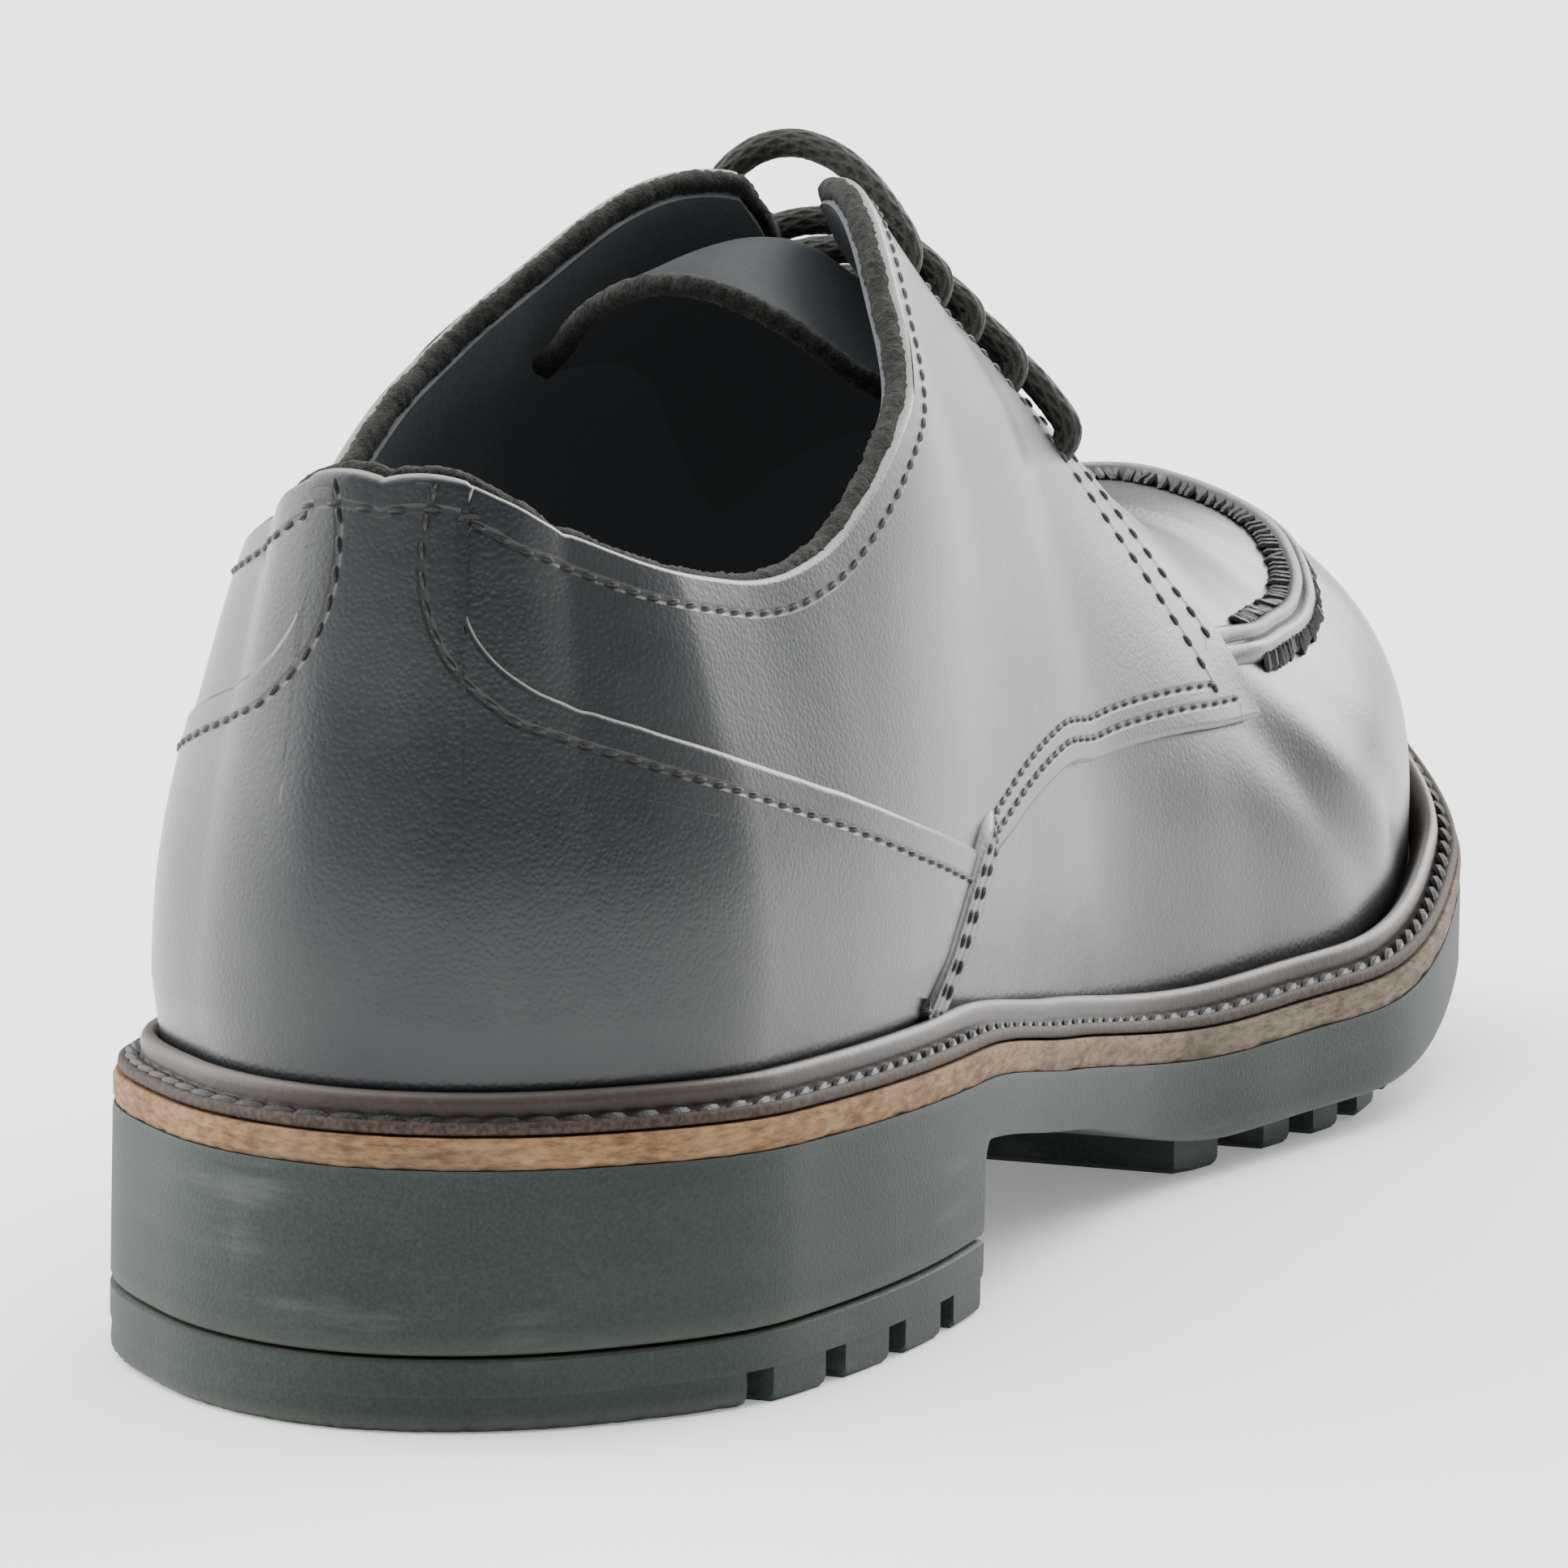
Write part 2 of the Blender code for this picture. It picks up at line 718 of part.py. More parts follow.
def make_midsole():
    """Leather-board midsole that the welt is stitched to."""
    sections = []
    for angle in spread(0.0, 1.0, MIDSOLE_STATIONS):
        points = []
        for side, height in ((-1, GAP), (-1, None), (1, None), (1, GAP)):
            point = edge_point(side, angle)
            rise = GAP if height else GAP + MIDSOLE_THICKNESS
            point.z = stack_top(point.x) + rise
            points.append(point)
        sections.append(points)
    loft("midsole", LEATHER_BOARD, sections)


def make_welt():
    """Storm welt: a flat ledge round the midsole with a ridge that leans on the upper."""
    ridge_out = WELT_LEDGE
    ridge_in = WELT_LEDGE + RIDGE_FOOT
    profile = (
        (WELT_EDGE_INSET, 0.0),
        (WELT_EDGE_INSET, WELT_THICKNESS),
        (ridge_out, WELT_THICKNESS),
        (ridge_out - RIDGE_LEAN, RIDGE_HEIGHT - RIDGE_SHOULDER),
        (ridge_out + RIDGE_LEAN, RIDGE_HEIGHT),
        (ridge_out + RIDGE_TOP, RIDGE_HEIGHT),
        (ridge_in, 0.0),
    )
    around = [(-1, angle) for angle in spread(0.0, 1.0, WELT_STATIONS)]
    around += [(1, angle) for angle in spread(1.0, 0.0, WELT_STATIONS)]
    rings = []
    for side, angle in around:
        if side == 1 and angle in (0.0, 1.0):
            continue
        ring = []
        for inset, height in profile:
            point = edge_point(side, angle, inset)
            point.z = midsole_top(point.x) + GAP + height
            ring.append(point)
        rings.append(ring)
    loft("welt", WELT_LEATHER, rings, closed=True)


def make_insole():
    """Insole that lies on the midsole inside the upper."""
    inset = FEATHER_INSET + WALL + 2 * GAP
    sections = []
    for angle in spread(0.0, 1.0, INSOLE_STATIONS):
        points = []
        for side, height in ((-1, 0.0), (-1, 1.0), (1, 1.0), (1, 0.0)):
            point = edge_point(side, angle, inset)
            point.z = midsole_top(point.x) + GAP + height * INSOLE_THICKNESS
            points.append(point)
        sections.append(points)
    loft("insole", LINING, sections)


def make_upper():
    """Vamp and lining in one hollow wall, open underneath and at the collar and slot."""
    rim = trace(COLLAR, COLLAR_POINTS)[:-1]
    rim += trace(FACING[:4], SLOT_SIDE_POINTS)[:-1]
    rim += trace(SLOT_END, SLOT_POINTS)[:-1]
    ridge_start = angle_of(SLOT_END[-1].along)
    rim += [(angle, 1.0) for angle in spread(ridge_start, 1.0, RIDGE_POINTS)]
    one_side = ruled([(angle, 0.0) for angle, rise in rim], rim, UPPER_ROWS)
    around = [(-1, column) for column in one_side]
    around += [(1, column) for column in reversed(one_side[1:-1])]
    outer = [[last_point(side, *place) for place in column] for side, column in around]
    inner = [
        [last_point(side, *place, -WALL) for place in column] for side, column in around
    ]
    open_top = [column[-1][1] < RIDGE_RISE for side, column in around]
    return shell("upper", VAMP_LEATHER, outer, inner, wrap=True, open_top=open_top)


def make_quarter(side, name):
    """Quarter with its facing, over the vamp and up to the collar."""
    seam = trace(COUNTER_SEAM, SEAM_POINTS)
    front = trace(VAMP_FRONT, FRONT_POINTS)
    low = beside(side, seam, -side * SEAM_GAP) + front[1:]
    high = trace(COLLAR[1:], QUARTER_COLLAR_POINTS) + trace(FACING, FACING_POINTS)[1:]
    high[0] = (low[0][0], high[0][1])
    outer, inner = overlay_grids(side, ruled(low, high, QUARTER_ROWS), OVERLAY)
    return shell(name, QUARTER_LEATHER, outer, inner)


def make_counter():
    """Heel counter with its back strap up to the collar."""
    strap = trace(COLLAR[:2], STRAP_POINTS)
    strap = [point for point in strap if point[0] < angle_of(COUNTER_SEAM[0].along)]
    high = strap + trace(COUNTER_SEAM, SEAM_POINTS)
    ends = [angle_of(COUNTER_SEAM[0].along), angle_of(VAMP_FOOT)]
    low = [(point[0], 0.0) for point in strap]
    low += [(angle, 0.0) for angle in spread(*ends, SEAM_POINTS)]
    outer, inner = [], []
    for side in (-1, 1):
        domain = ruled(low, high, COUNTER_ROWS)
        faces = overlay_grids(side, domain, OVERLAY + COUNTER_EXTRA)
        if side == -1:
            outer, inner = [face[::-1] for face in faces]
        else:
            outer, inner = outer + faces[0][1:], inner + faces[1][1:]
    shell("counter", QUARTER_LEATHER, outer, inner)


def make_tongue():
    """Tongue under the facings, sagging where it stands free above the lacing."""
    faces = []
    for depth in (0.0, TONGUE_THICKNESS):
        grid = []
        for share in spread(-1.0, 1.0, TONGUE_COLUMNS):
            side = -1 if share < 0.0 else 1
            grid.append([])
            top = TONGUE_TOP + TONGUE_CORNER * share * share
            for along in spread(TONGUE_ROOT, top, TONGUE_ROWS):
                free = max(TONGUE_FREE - along, 0.0) / (TONGUE_FREE - TONGUE_TOP)
                edge = TONGUE_EDGE + (TONGUE_ROOT_EDGE - TONGUE_EDGE) * (1.0 - free)
                rise = 1.0 - abs(share) * (1.0 - edge)
                point = last_point(
                    side, angle_of(along), rise, -WALL - TONGUE_GAP - depth
                )
                point.z -= TONGUE_SAG * free**TONGUE_BEND * (1.0 - abs(share) ** TONGUE_ARCH)
                grid[-1].append(point)
        faces.append(grid)
    shell("tongue", LINING, faces[0], faces[1])


def make_apron_seam():
    """Raised seam round the apron, from one quarter's front corner to the other's."""
    path = trace(APRON, APRON_POINTS)
    around = [(-1, place) for place in path] + [(1, place) for place in path[-2::-1]]
    centre = [last_point(side, *place) for side, place in around]
    rings = []
    for k, (side, place) in enumerate(around):
        before, after = centre[max(k - 1, 0)], centre[min(k + 1, len(centre) - 1)]
        normal = last_normal(side, *place)
        across = normal.cross(after - before).normalized()
        half, crest = APRON_RIDGE_WIDTH / 2, APRON_CREST_WIDTH / 2
        ring = []
        for sideways, up in (
            (-half, LAYER_GAP + APRON_SKIRT),
            (-crest, LAYER_GAP + APRON_RIDGE),
            (crest, LAYER_GAP + APRON_RIDGE),
            (half, LAYER_GAP + APRON_SKIRT),
            (half, LAYER_GAP),
            (-half, LAYER_GAP),
        ):
            ring.append(centre[k] + across * sideways + normal * up)
        rings.append(ring)
    loft("apron_seam", VAMP_LEATHER, rings, caps=(True, True))


def eyelet_frame(side, row):
    """Centre of an eyelet on the last and the last's normal there."""
    angle = angle_of(row.along)
    return bare_last(side, angle, row.rise), last_normal(side, angle, row.rise)


def punch_eyelets(bodies):
    """Cuts every eyelet through the facing and the wall below it."""
    bm = bmesh.new()
    for side in (-1, 1):
        for row in EYELETS:
            centre, normal = eyelet_frame(side, row)
            across = normal.cross(Vector((1.0, 0.0, 0.0))).normalized()
            other = normal.cross(across)
            rings = []
            for offset in (-PUNCH_REACH, PUNCH_REACH):
                ring = []
                for turn in range(EYELET_SIDES):
                    angle = 2.0 * math.pi * turn / EYELET_SIDES
                    out = across * math.cos(angle) + other * math.sin(angle)
                    point = centre + normal * offset + out * (EYELET_DIAMETER / 2)
                    ring.append(bm.verts.new(point))
                rings.append(ring)
            add_strip(bm, rings[0] + rings[0][:1], rings[1] + rings[1][:1])
            bm.faces.new(rings[0])
            bm.faces.new(rings[1])
    punch = new_object("eyelet_punches", QUARTER_LEATHER, bm)
    move_to_tools(punch)
    for body in bodies:
        cut = body.modifiers.new("eyelets", "BOOLEAN")
        cut.operation = "DIFFERENCE"
        cut.object = punch


def cord(name, points):
    """Round lace along a hand-chosen row of points."""
    curve = bpy.data.curves.new(name, "CURVE")
    curve.dimensions = "3D"
    curve.bevel_depth = LACE_DIAMETER / 2
    curve.bevel_resolution = LACE_BEVEL
    curve.use_fill_caps = True
    spline = curve.splines.new("POLY")
    spline.points.add(len(points) - 1)
    for target, point in zip(spline.points, points):
        target.co = (*point, 1.0)
    curve.materials.append(LACE_CORD)
    obj = bpy.data.objects.new(name, curve)
    SHOE.objects.link(obj)
    obj.parent = STAND
    return obj


def make_lace(name, row, lift):
    """One run of the lace, out of an eyelet, over both facings and into the other one."""
    surface = LAYER_GAP + OVERLAY + LACE_DIAMETER / 2 + LACE_LIFT
    angle = angle_of(row.along)
    half = []
    for step in LACE_RUN:
        edge = row.rise + EYELET_TO_EDGE
        rise = row.rise + step.to_edge * EYELET_TO_EDGE + step.to_ridge * (1.0 - edge)
        half.append((rise, step.height * surface + step.slack * lift))
    points = [last_point(-1, angle, *place) for place in half]
    points += [last_point(1, angle, *place) for place in reversed(half[:-1])]
    cord(name, points)


def plain_material(name, colour, roughness):
    """Principled material of one colour."""
    material = bpy.data.materials.new(name)
    material.use_nodes = True
    shader = material.node_tree.nodes["Principled BSDF"]
    shader.inputs["Base Color"].default_value = (*colour, 1.0)
    shader.inputs["Roughness"].default_value = roughness
    return material


for old in list(bpy.data.objects):
    bpy.data.objects.remove(old)
SHOE = bpy.data.collections.new("derby_shoe")
TOOLS = bpy.data.collections.new("joining_tools")
bpy.context.scene.collection.children.link(SHOE)
bpy.context.scene.collection.children.link(TOOLS)
STAND = bpy.data.objects.new("stand", None)
SHOE.objects.link(STAND)
WIDE_SIDES = [
    side * max(side * bare_edge(side, angle).y for angle in spread(0.0, 1.0, EDGE_SAMPLES))
    for side in (-1, 1)
]
STAND.location = (-SOLE_LENGTH / 2, -sum(WIDE_SIDES) / 2, 0.0)

RUBBER = plain_material("rubber", (0.055, 0.068, 0.065), 0.75)
LEATHER_BOARD = plain_material("leather_board", (0.300, 0.190, 0.110), 0.80)
WELT_LEATHER = plain_material("welt_leather", (0.060, 0.038, 0.032), 0.45)
VAMP_LEATHER = plain_material("vamp_leather", (0.080, 0.085, 0.085), 0.35)
QUARTER_LEATHER = plain_material("quarter_leather", (0.080, 0.085, 0.085), 0.35)
LINING = plain_material("lining", (0.020, 0.022, 0.024), 0.80)
LACE_CORD = plain_material("lace_cord", (0.045, 0.045, 0.038), 0.70)

make_outsole()
make_heel_lift()
make_midsole()
make_welt()
make_insole()
laced = [make_upper(), make_quarter(-1, "quarter_inner"), make_quarter(1, "quarter_outer")]
punch_eyelets(laced)
make_counter()
make_tongue()
make_apron_seam()
make_lace("lace_arch", EYELETS[0], ARCH_SLACK)
for place, row in enumerate(EYELETS[1:], 1):
    make_lace(f"lace_bar_{place}", row, BAR_SLACK)
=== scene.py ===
"""Looks of a moc-toe derby shoe: leather, stitching, felted edges, laces and a lugged sole.

The visible pieces come from the same last surface as the solids, with closer stations,
rounded edges, creases and stitches. Lengths are metres. The shoe is built with its heel's
back at x = 0 and moved by Last.shift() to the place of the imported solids.
"""

import logging
import math
from collections.abc import Callable
from dataclasses import dataclass
from enum import Enum

import bmesh
import bpy
import numpy as np
from mathutils import Matrix, Vector, kdtree


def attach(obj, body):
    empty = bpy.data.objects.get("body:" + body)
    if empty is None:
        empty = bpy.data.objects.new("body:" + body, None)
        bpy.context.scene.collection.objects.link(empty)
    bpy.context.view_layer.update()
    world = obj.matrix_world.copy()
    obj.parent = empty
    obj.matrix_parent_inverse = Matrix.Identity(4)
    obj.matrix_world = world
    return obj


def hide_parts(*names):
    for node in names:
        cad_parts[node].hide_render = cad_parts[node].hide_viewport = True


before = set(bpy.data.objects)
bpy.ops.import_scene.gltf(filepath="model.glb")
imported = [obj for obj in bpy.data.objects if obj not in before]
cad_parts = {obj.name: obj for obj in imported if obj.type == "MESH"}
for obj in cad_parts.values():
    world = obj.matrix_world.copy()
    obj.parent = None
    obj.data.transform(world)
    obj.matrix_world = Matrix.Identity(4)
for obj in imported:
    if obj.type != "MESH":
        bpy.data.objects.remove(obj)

LOG = logging.getLogger("shoe")
Array = np.ndarray
Colour = tuple[float, float, float]
Value = object
MM = 0.001

# A mark's value where a row of stitches is not near, and how many rows a piece can carry
FAR = 99.0
ROWS = 5
# Rise above which a point counts as on the ridge
RIDGE = 0.998
# How near a point must be to a row to be marked, and the slack past a row's ends
NEAR = 0.004
END_SLACK = 0.0005


class Side(Enum):
    """The shoe's two sides, by the sign of y."""

    INNER = -1
    OUTER = 1


@dataclass(frozen=True)
class Curve:
    """Smooth curve through points, which never swings past them."""

    places: tuple[float, ...]
    values: tuple[float, ...]

    def __call__(self, place: Array) -> Array:
        """Values of the curve.

        Args:
            place: Where the curve is read.

        Returns:
            One value for each place.
        """
        xs, ys = np.array(self.places), np.array(self.values)
        slopes = np.diff(ys) / np.diff(xs)
        before, after = slopes[:-1], slopes[1:]
        total = np.where(np.abs(before + after) < 1e-12, 1.0, before + after)
        inner = np.where(before * after <= 0.0, 0.0, 2.0 * before * after / total)
        tangents = np.concatenate([slopes[:1], inner, slopes[-1:]])
        place = np.clip(np.asarray(place, float), xs[0], xs[-1])
        k = np.clip(np.searchsorted(xs, place, side="right") - 1, 0, len(xs) - 2)
        span = xs[k + 1] - xs[k]
        u = (place - xs[k]) / span
        return (
            ys[k] * (1 + 2 * u) * (1 - u) ** 2
            + tangents[k] * span * u * (1 - u) ** 2
            + ys[k + 1] * u * u * (3 - 2 * u)
            + tangents[k + 1] * span * u * u * (u - 1)
        )


def unit(vectors: Array) -> Array:
    """Vectors scaled to length one."""
    size = np.linalg.norm(vectors, axis=-1, keepdims=True)
    return vectors / np.maximum(size, 1e-12)


def smooth_step(x: Array) -> Array:
    """Smooth rise from 0 at 0 to 1 at 1."""
    x = np.clip(x, 0.0, 1.0)
    return x * x * (3.0 - 2.0 * x)


def distances(path: Array) -> Array:
    """Distance along a path up to each point, from its first three columns."""
    steps = np.linalg.norm(np.diff(path[:, :3], axis=0), axis=-1)
    return np.concatenate([[0.0], np.cumsum(steps)])


def resample(path: Array, pitch: float) -> Array:
    """Rows a pitch apart along a path.

    Args:
        path: Rows whose first three columns are points; the others are carried along.
        pitch: Distance between rows.

    Returns:
        The new rows.
    """
    run = distances(path)
    at = np.linspace(0.0, run[-1], max(int(run[-1] / pitch), 2))
    return np.stack([np.interp(at, run, path[:, k]) for k in range(path.shape[1])], axis=-1)


def respaced(path: Array, count: int) -> Array:
    """A domain path read at a count of even shares of its points."""
    at, have = np.linspace(0.0, 1.0, count), np.linspace(0.0, 1.0, len(path))
    return np.stack([np.interp(at, have, path[:, k]) for k in range(2)], axis=-1)


def loft_faces(count: int, sides: int, start: int = 0, closed: bool = False) -> list:
    """Faces over rings of points, with a face on each end unless the rings close up.

    Args:
        count: How many rings.
        sides: Points in a ring.
        start: Number of the first point.
        closed: True if the last ring meets the first one.

    Returns:
        Tuples of point numbers.
    """
    faces = []
    for k in range(count if closed else count - 1):
        a, b = start + k * sides, start + (k + 1) % count * sides
        for j in range(sides):
            i = (j + 1) % sides
            faces.append((a + j, a + i, b + i, b + j))
    if not closed:
        end = start + count * sides
        faces.append(tuple(range(start, start + sides)))
        faces.append(tuple(range(end - 1, end - sides - 1, -1)))
    return faces


def joined(parts: list) -> tuple[Array, list]:
    """Several (points, faces) as one.

    Args:
        parts: Pairs of points and faces.

    Returns:
        All the points, and the faces with their new point numbers.
    """
    faces, start = [], 0
    for points, own_faces in parts:
        faces += [tuple(start + i for i in face) for face in own_faces]
        start += len(points)
    return np.concatenate([points for points, _ in parts]), faces


@dataclass
class Last:
    """The surface that the upper is made over, and the sole's edge under it.

    Near the throat, settle lowers it and squeeze draws it in, as a worn-in upper does.
    """

    sole_length: float = 0.302
    ball_width: float = 0.105
    toe_swing: float = 0.0045
    swing_start: float = 0.35
    heel_breast: float = 0.088
    heel_stack: float = 0.0276
    breast_stack: float = 0.0250
    waist_stack: float = 0.0197
    waist_place: float = 0.42
    flat_start: float = 0.59
    flat_end: float = 0.68
    toe_spring: float = 0.0195
    spring_place: float = 0.82
    spring_share: float = 0.25
    plate: float = 0.0095
    breast_plate: float = 0.0068
    lug_height: float = 0.0042
    midsole: float = 0.0031
    gap: float = 0.0003
    feather_inset: float = 0.0062
    instep: float = 0.0965
    heel_spine: float = 0.0330
    toe_spine: float = 0.0600
    side_swell: float = 0.030
    swell_height: float = 0.046
    settle: float = 0.0030
    squeeze: float = 0.14
    settle_at: float = 0.142
    settle_length: float = 0.040
    settle_from: float = 0.084
    settle_over: float = 0.028
    rise_weight: float = 0.35
    step: float = 0.004
    normal_step: float = 0.006
    ridge_reach: float = 0.002
    outline: tuple = (
        (0.00, 0.000, 0.000), (0.04, 0.228, 0.228), (0.12, 0.360, 0.362), (0.25, 0.400, 0.386),
        (0.38, 0.383, 0.378), (0.50, 0.375, 0.443), (0.62, 0.428, 0.512), (0.72, 0.473, 0.523),
        (0.84, 0.420, 0.432), (0.94, 0.267, 0.272), (1.00, 0.000, 0.000),
    )
    sections: tuple = (
        (0.000, 1.26, 1.85), (0.020, 1.15, 1.85), (0.045, 0.95, 1.85), (0.110, 0.86, 1.85),
        (0.150, 0.88, 1.85), (0.210, 0.98, 1.90), (0.320, 1.13, 2.10), (0.380, 1.09, 2.00),
        (0.457, 1.00, 2.00), (0.510, 0.91, 1.90), (0.566, 0.80, 1.90), (0.612, 0.715, 1.90),
        (0.662, 0.635, 1.95), (0.712, 0.55, 2.05), (0.775, 0.475, 2.30), (1.000, 0.475, 2.50),
    )

    def __post_init__(self) -> None:
        """Makes the curves of the tables."""
        angles = tuple(float(self.angle_of(row[0])) for row in self.outline)
        self.halves = {
            Side.INNER: Curve(angles, tuple(row[1] for row in self.outline)),
            Side.OUTER: Curve(angles, tuple(row[2] for row in self.outline)),
        }
        alongs = tuple(row[0] for row in self.sections)
        self.crests = Curve(alongs, tuple(row[1] for row in self.sections))
        section_angles = tuple(float(self.angle_of(a)) for a in alongs)
        self.fullness = Curve(section_angles, tuple(row[2] for row in self.sections))
        tread = self.plate + self.lug_height
        self.stack = Curve(
            (
                0.0,
                self.heel_breast / self.sole_length,
                self.waist_place,
                self.flat_start,
                self.flat_end,
                self.spring_place,
                1.0,
            ),
            (
                self.heel_stack,
                self.breast_stack,
                self.waist_stack,
                tread,
                tread,
                tread + self.spring_share * self.toe_spring,
                tread + self.toe_spring,
            ),
        )
        self.toe_pole = self.sole_length - self.feather_inset - self.toe_spine

    def angle_of(self, along: Array) -> Array:
        """Station angle, 0 at the heel and 1 at the toe, of a place along the sole."""
        return np.arccos(1.0 - 2.0 * np.clip(along, 0.0, 1.0)) / math.pi

    def along_of(self, angle: Array) -> Array:
        """Place along the sole of a station angle."""
        return (1.0 - np.cos(math.pi * np.asarray(angle, float))) / 2.0

    def centre_line(self, along: Array) -> Array:
        """Sideways place of the shoe's centre line."""
        forward = np.maximum(along - self.swing_start, 0.0) / (1.0 - self.swing_start)
        return -self.toe_swing * forward * forward

    def bare_edge(self, side: Side, angle: Array) -> Array:
        """Plan points on the sole's edge as it is drawn.

        Args:
            side: Which side of the shoe.
            angle: Station angles.

        Returns:
            Points with z = 0.
        """
        along = self.along_of(angle)
        half = self.halves[side](angle) * self.ball_width
        y = self.centre_line(along) + side.value * half
        return np.stack([along * self.sole_length, y, np.zeros_like(along)], axis=-1)

    def edge(self, side: Side, angle: Array, inset: float = 0.0) -> Array:
        """Plan points on the sole's edge.

        Args:
            side: Which side of the shoe.
            angle: Station angles.
            inset: How far the points move inwards.

        Returns:
            Points with z = 0.
        """
        angle = np.asarray(angle, float)
        after = self.bare_edge(side, np.minimum(angle + self.step, 1.0))
        tangent = after - self.bare_edge(side, np.maximum(angle - self.step, 0.0))
        normal = np.stack([tangent[..., 1], -tangent[..., 0], tangent[..., 2]], axis=-1)
        normal = unit(normal) * side.value
        heel, toe = np.array([1.0, 0.0, 0.0]), np.array([-1.0, 0.0, 0.0])
        normal = np.where((angle <= self.step)[..., None], heel, normal)
        normal = np.where((angle >= 1.0 - self.step)[..., None], toe, normal)
        return self.bare_edge(side, angle) + normal * inset

    def stack_top(self, x: Array) -> Array:
        """Height of the rubber's upper face."""
        return self.stack(np.asarray(x) / self.sole_length)

    def midsole_top(self, x: Array) -> Array:
        """Height of the midsole's upper face."""
        return self.stack_top(x) + self.gap + self.midsole

    def plate_bottom(self, x: Array) -> Array:
        """Height of the sole plate's underside in front of the heel.

        Args:
            x: Places along the shoe.

        Returns:
            One height for each place.
        """
        thick = Curve(
            (self.heel_breast / self.sole_length, self.waist_place, self.flat_start, 1.0),
            (self.breast_plate, self.breast_plate, self.plate, self.plate),
        )
        return self.stack_top(x) - thick(np.asarray(x) / self.sole_length)

    def crest_height(self, along: Array) -> Array:
        """Height of the last's ridge over its feather line."""
        return self.crests(np.minimum(along, self.toe_pole / self.sole_length)) * self.instep

    def crest(self, angle: Array) -> Array:
        """Points of the ridge that the stations' sections run up to.

        Args:
            angle: Station angles.

        Returns:
            One point for each angle.
        """
        along = self.along_of(angle)
        x = np.clip(along * self.sole_length, self.heel_spine, self.toe_pole)
        z = self.midsole_top(x) + self.gap + self.crest_height(along)
        return np.stack([x, self.centre_line(x / self.sole_length), z], axis=-1)

    def bare(self, side: Side, angle: Array, rise: Array) -> Array:
        """Points of the last's surface.

        Args:
            side: Which side of the shoe.
            angle: Station angles.
            rise: Shares of the way up a section, 0 at the feather line and 1 at the ridge.

        Returns:
            One point for each pair.
        """
        angle, rise = np.broadcast_arrays(np.asarray(angle, float), np.asarray(rise, float))
        foot = self.edge(side, angle, self.feather_inset)
        foot_z = self.midsole_top(foot[..., 0]) + self.gap
        crest = self.crest(angle)
        power = 2.0 / self.fullness(angle)
        out = np.maximum(np.cos(math.pi / 2 * rise), 0.0) ** power
        up = np.maximum(np.sin(math.pi / 2 * rise), 0.0) ** power
        height = up * (crest[..., 2] - foot_z)
        swell = np.sin(math.pi * np.minimum(height / self.swell_height, 1.0)) ** 2
        share = out + swell * self.side_swell * (1.0 - rise * rise)
        plan = crest + (foot - crest) * share[..., None]
        x, y, z = plan[..., 0], plan[..., 1], foot_z + height
        over = smooth_step((z - self.settle_from) / self.settle_over)
        over = over * np.exp(-(((x - self.settle_at) / self.settle_length) ** 2))
        y = crest[..., 1] + (y - crest[..., 1]) * (1.0 - self.squeeze * over)
        return np.stack([x, y, z - self.settle * over], axis=-1)

    def normal(self, side: Side, angle: Array, rise: Array) -> Array:
        """Outward normals of the last's surface.

        Args:
            side: Which side of the shoe.
            angle: Station angles.
            rise: Shares of the way up a section, 0 to 1.

        Returns:
            One unit vector for each pair.
        """
        angle, rise = np.broadcast_arrays(np.asarray(angle, float), np.asarray(rise, float))
        step = self.normal_step
        low, high = np.maximum(rise - step, 0.0), np.minimum(rise + step, 1.0)
        along_rise = self.bare(side, angle, high) - self.bare(side, angle, low)
        ahead = np.minimum(angle + step, 1.0)
        behind = np.maximum(angle - step, 0.0)
        around = self.bare(side, ahead, rise) - self.bare(side, behind, rise)
        normal = np.cross(along_rise, around) * side.value
        for end in (0.0, 1.0):
            near = np.full_like(angle, abs(end - step))
            across = self.bare(Side.OUTER, near, rise) - self.bare(Side.INNER, near, rise)
            pole = np.cross(along_rise, across) if end == 0.0 else np.cross(across, along_rise)
            at_end = np.abs(angle - end) < step
            normal = np.where(at_end[..., None], pole, normal)
        x = self.crest(angle)[..., 0]
        reach = self.ridge_reach
        fall = self.crest_height((x + reach) / self.sole_length)
        fall = fall - self.crest_height((x - reach) / self.sole_length)
        fall = fall + self.midsole_top(x + reach) - self.midsole_top(x - reach)
        ridge = np.stack([-fall / (2 * reach), np.zeros_like(x), np.ones_like(x)], axis=-1)
        return np.where((rise > RIDGE)[..., None], unit(ridge), unit(normal))

    def point(self, side: Side, angle: Array, rise: Array, offset: Array = 0.0) -> Array:
        """Points at an offset from the last's surface, outwards when positive."""
        offset = np.asarray(offset, float)[..., None]
        return self.bare(side, angle, rise) + self.normal(side, angle, rise) * offset

    def trace(self, table: tuple, count: int) -> Array:
        """Domain points (angle, rise) spread along a seam.

        Args:
            table: Rows of (along, rise).
            count: How many points.

        Returns:
            An array of count rows.
        """
        points = [(float(self.angle_of(row[0])), row[1]) for row in table]
        run = [0.0]
        for one, other in zip(points, points[1:]):
            run.append(
                run[-1] + math.hypot(other[0] - one[0], (other[1] - one[1]) * self.rise_weight)
            )
        at = np.linspace(0.0, run[-1], count)
        angles = Curve(tuple(run), tuple(p[0] for p in points))(at)
        rises = Curve(tuple(run), tuple(p[1] for p in points))(at)
        return np.stack([angles, rises], axis=-1)

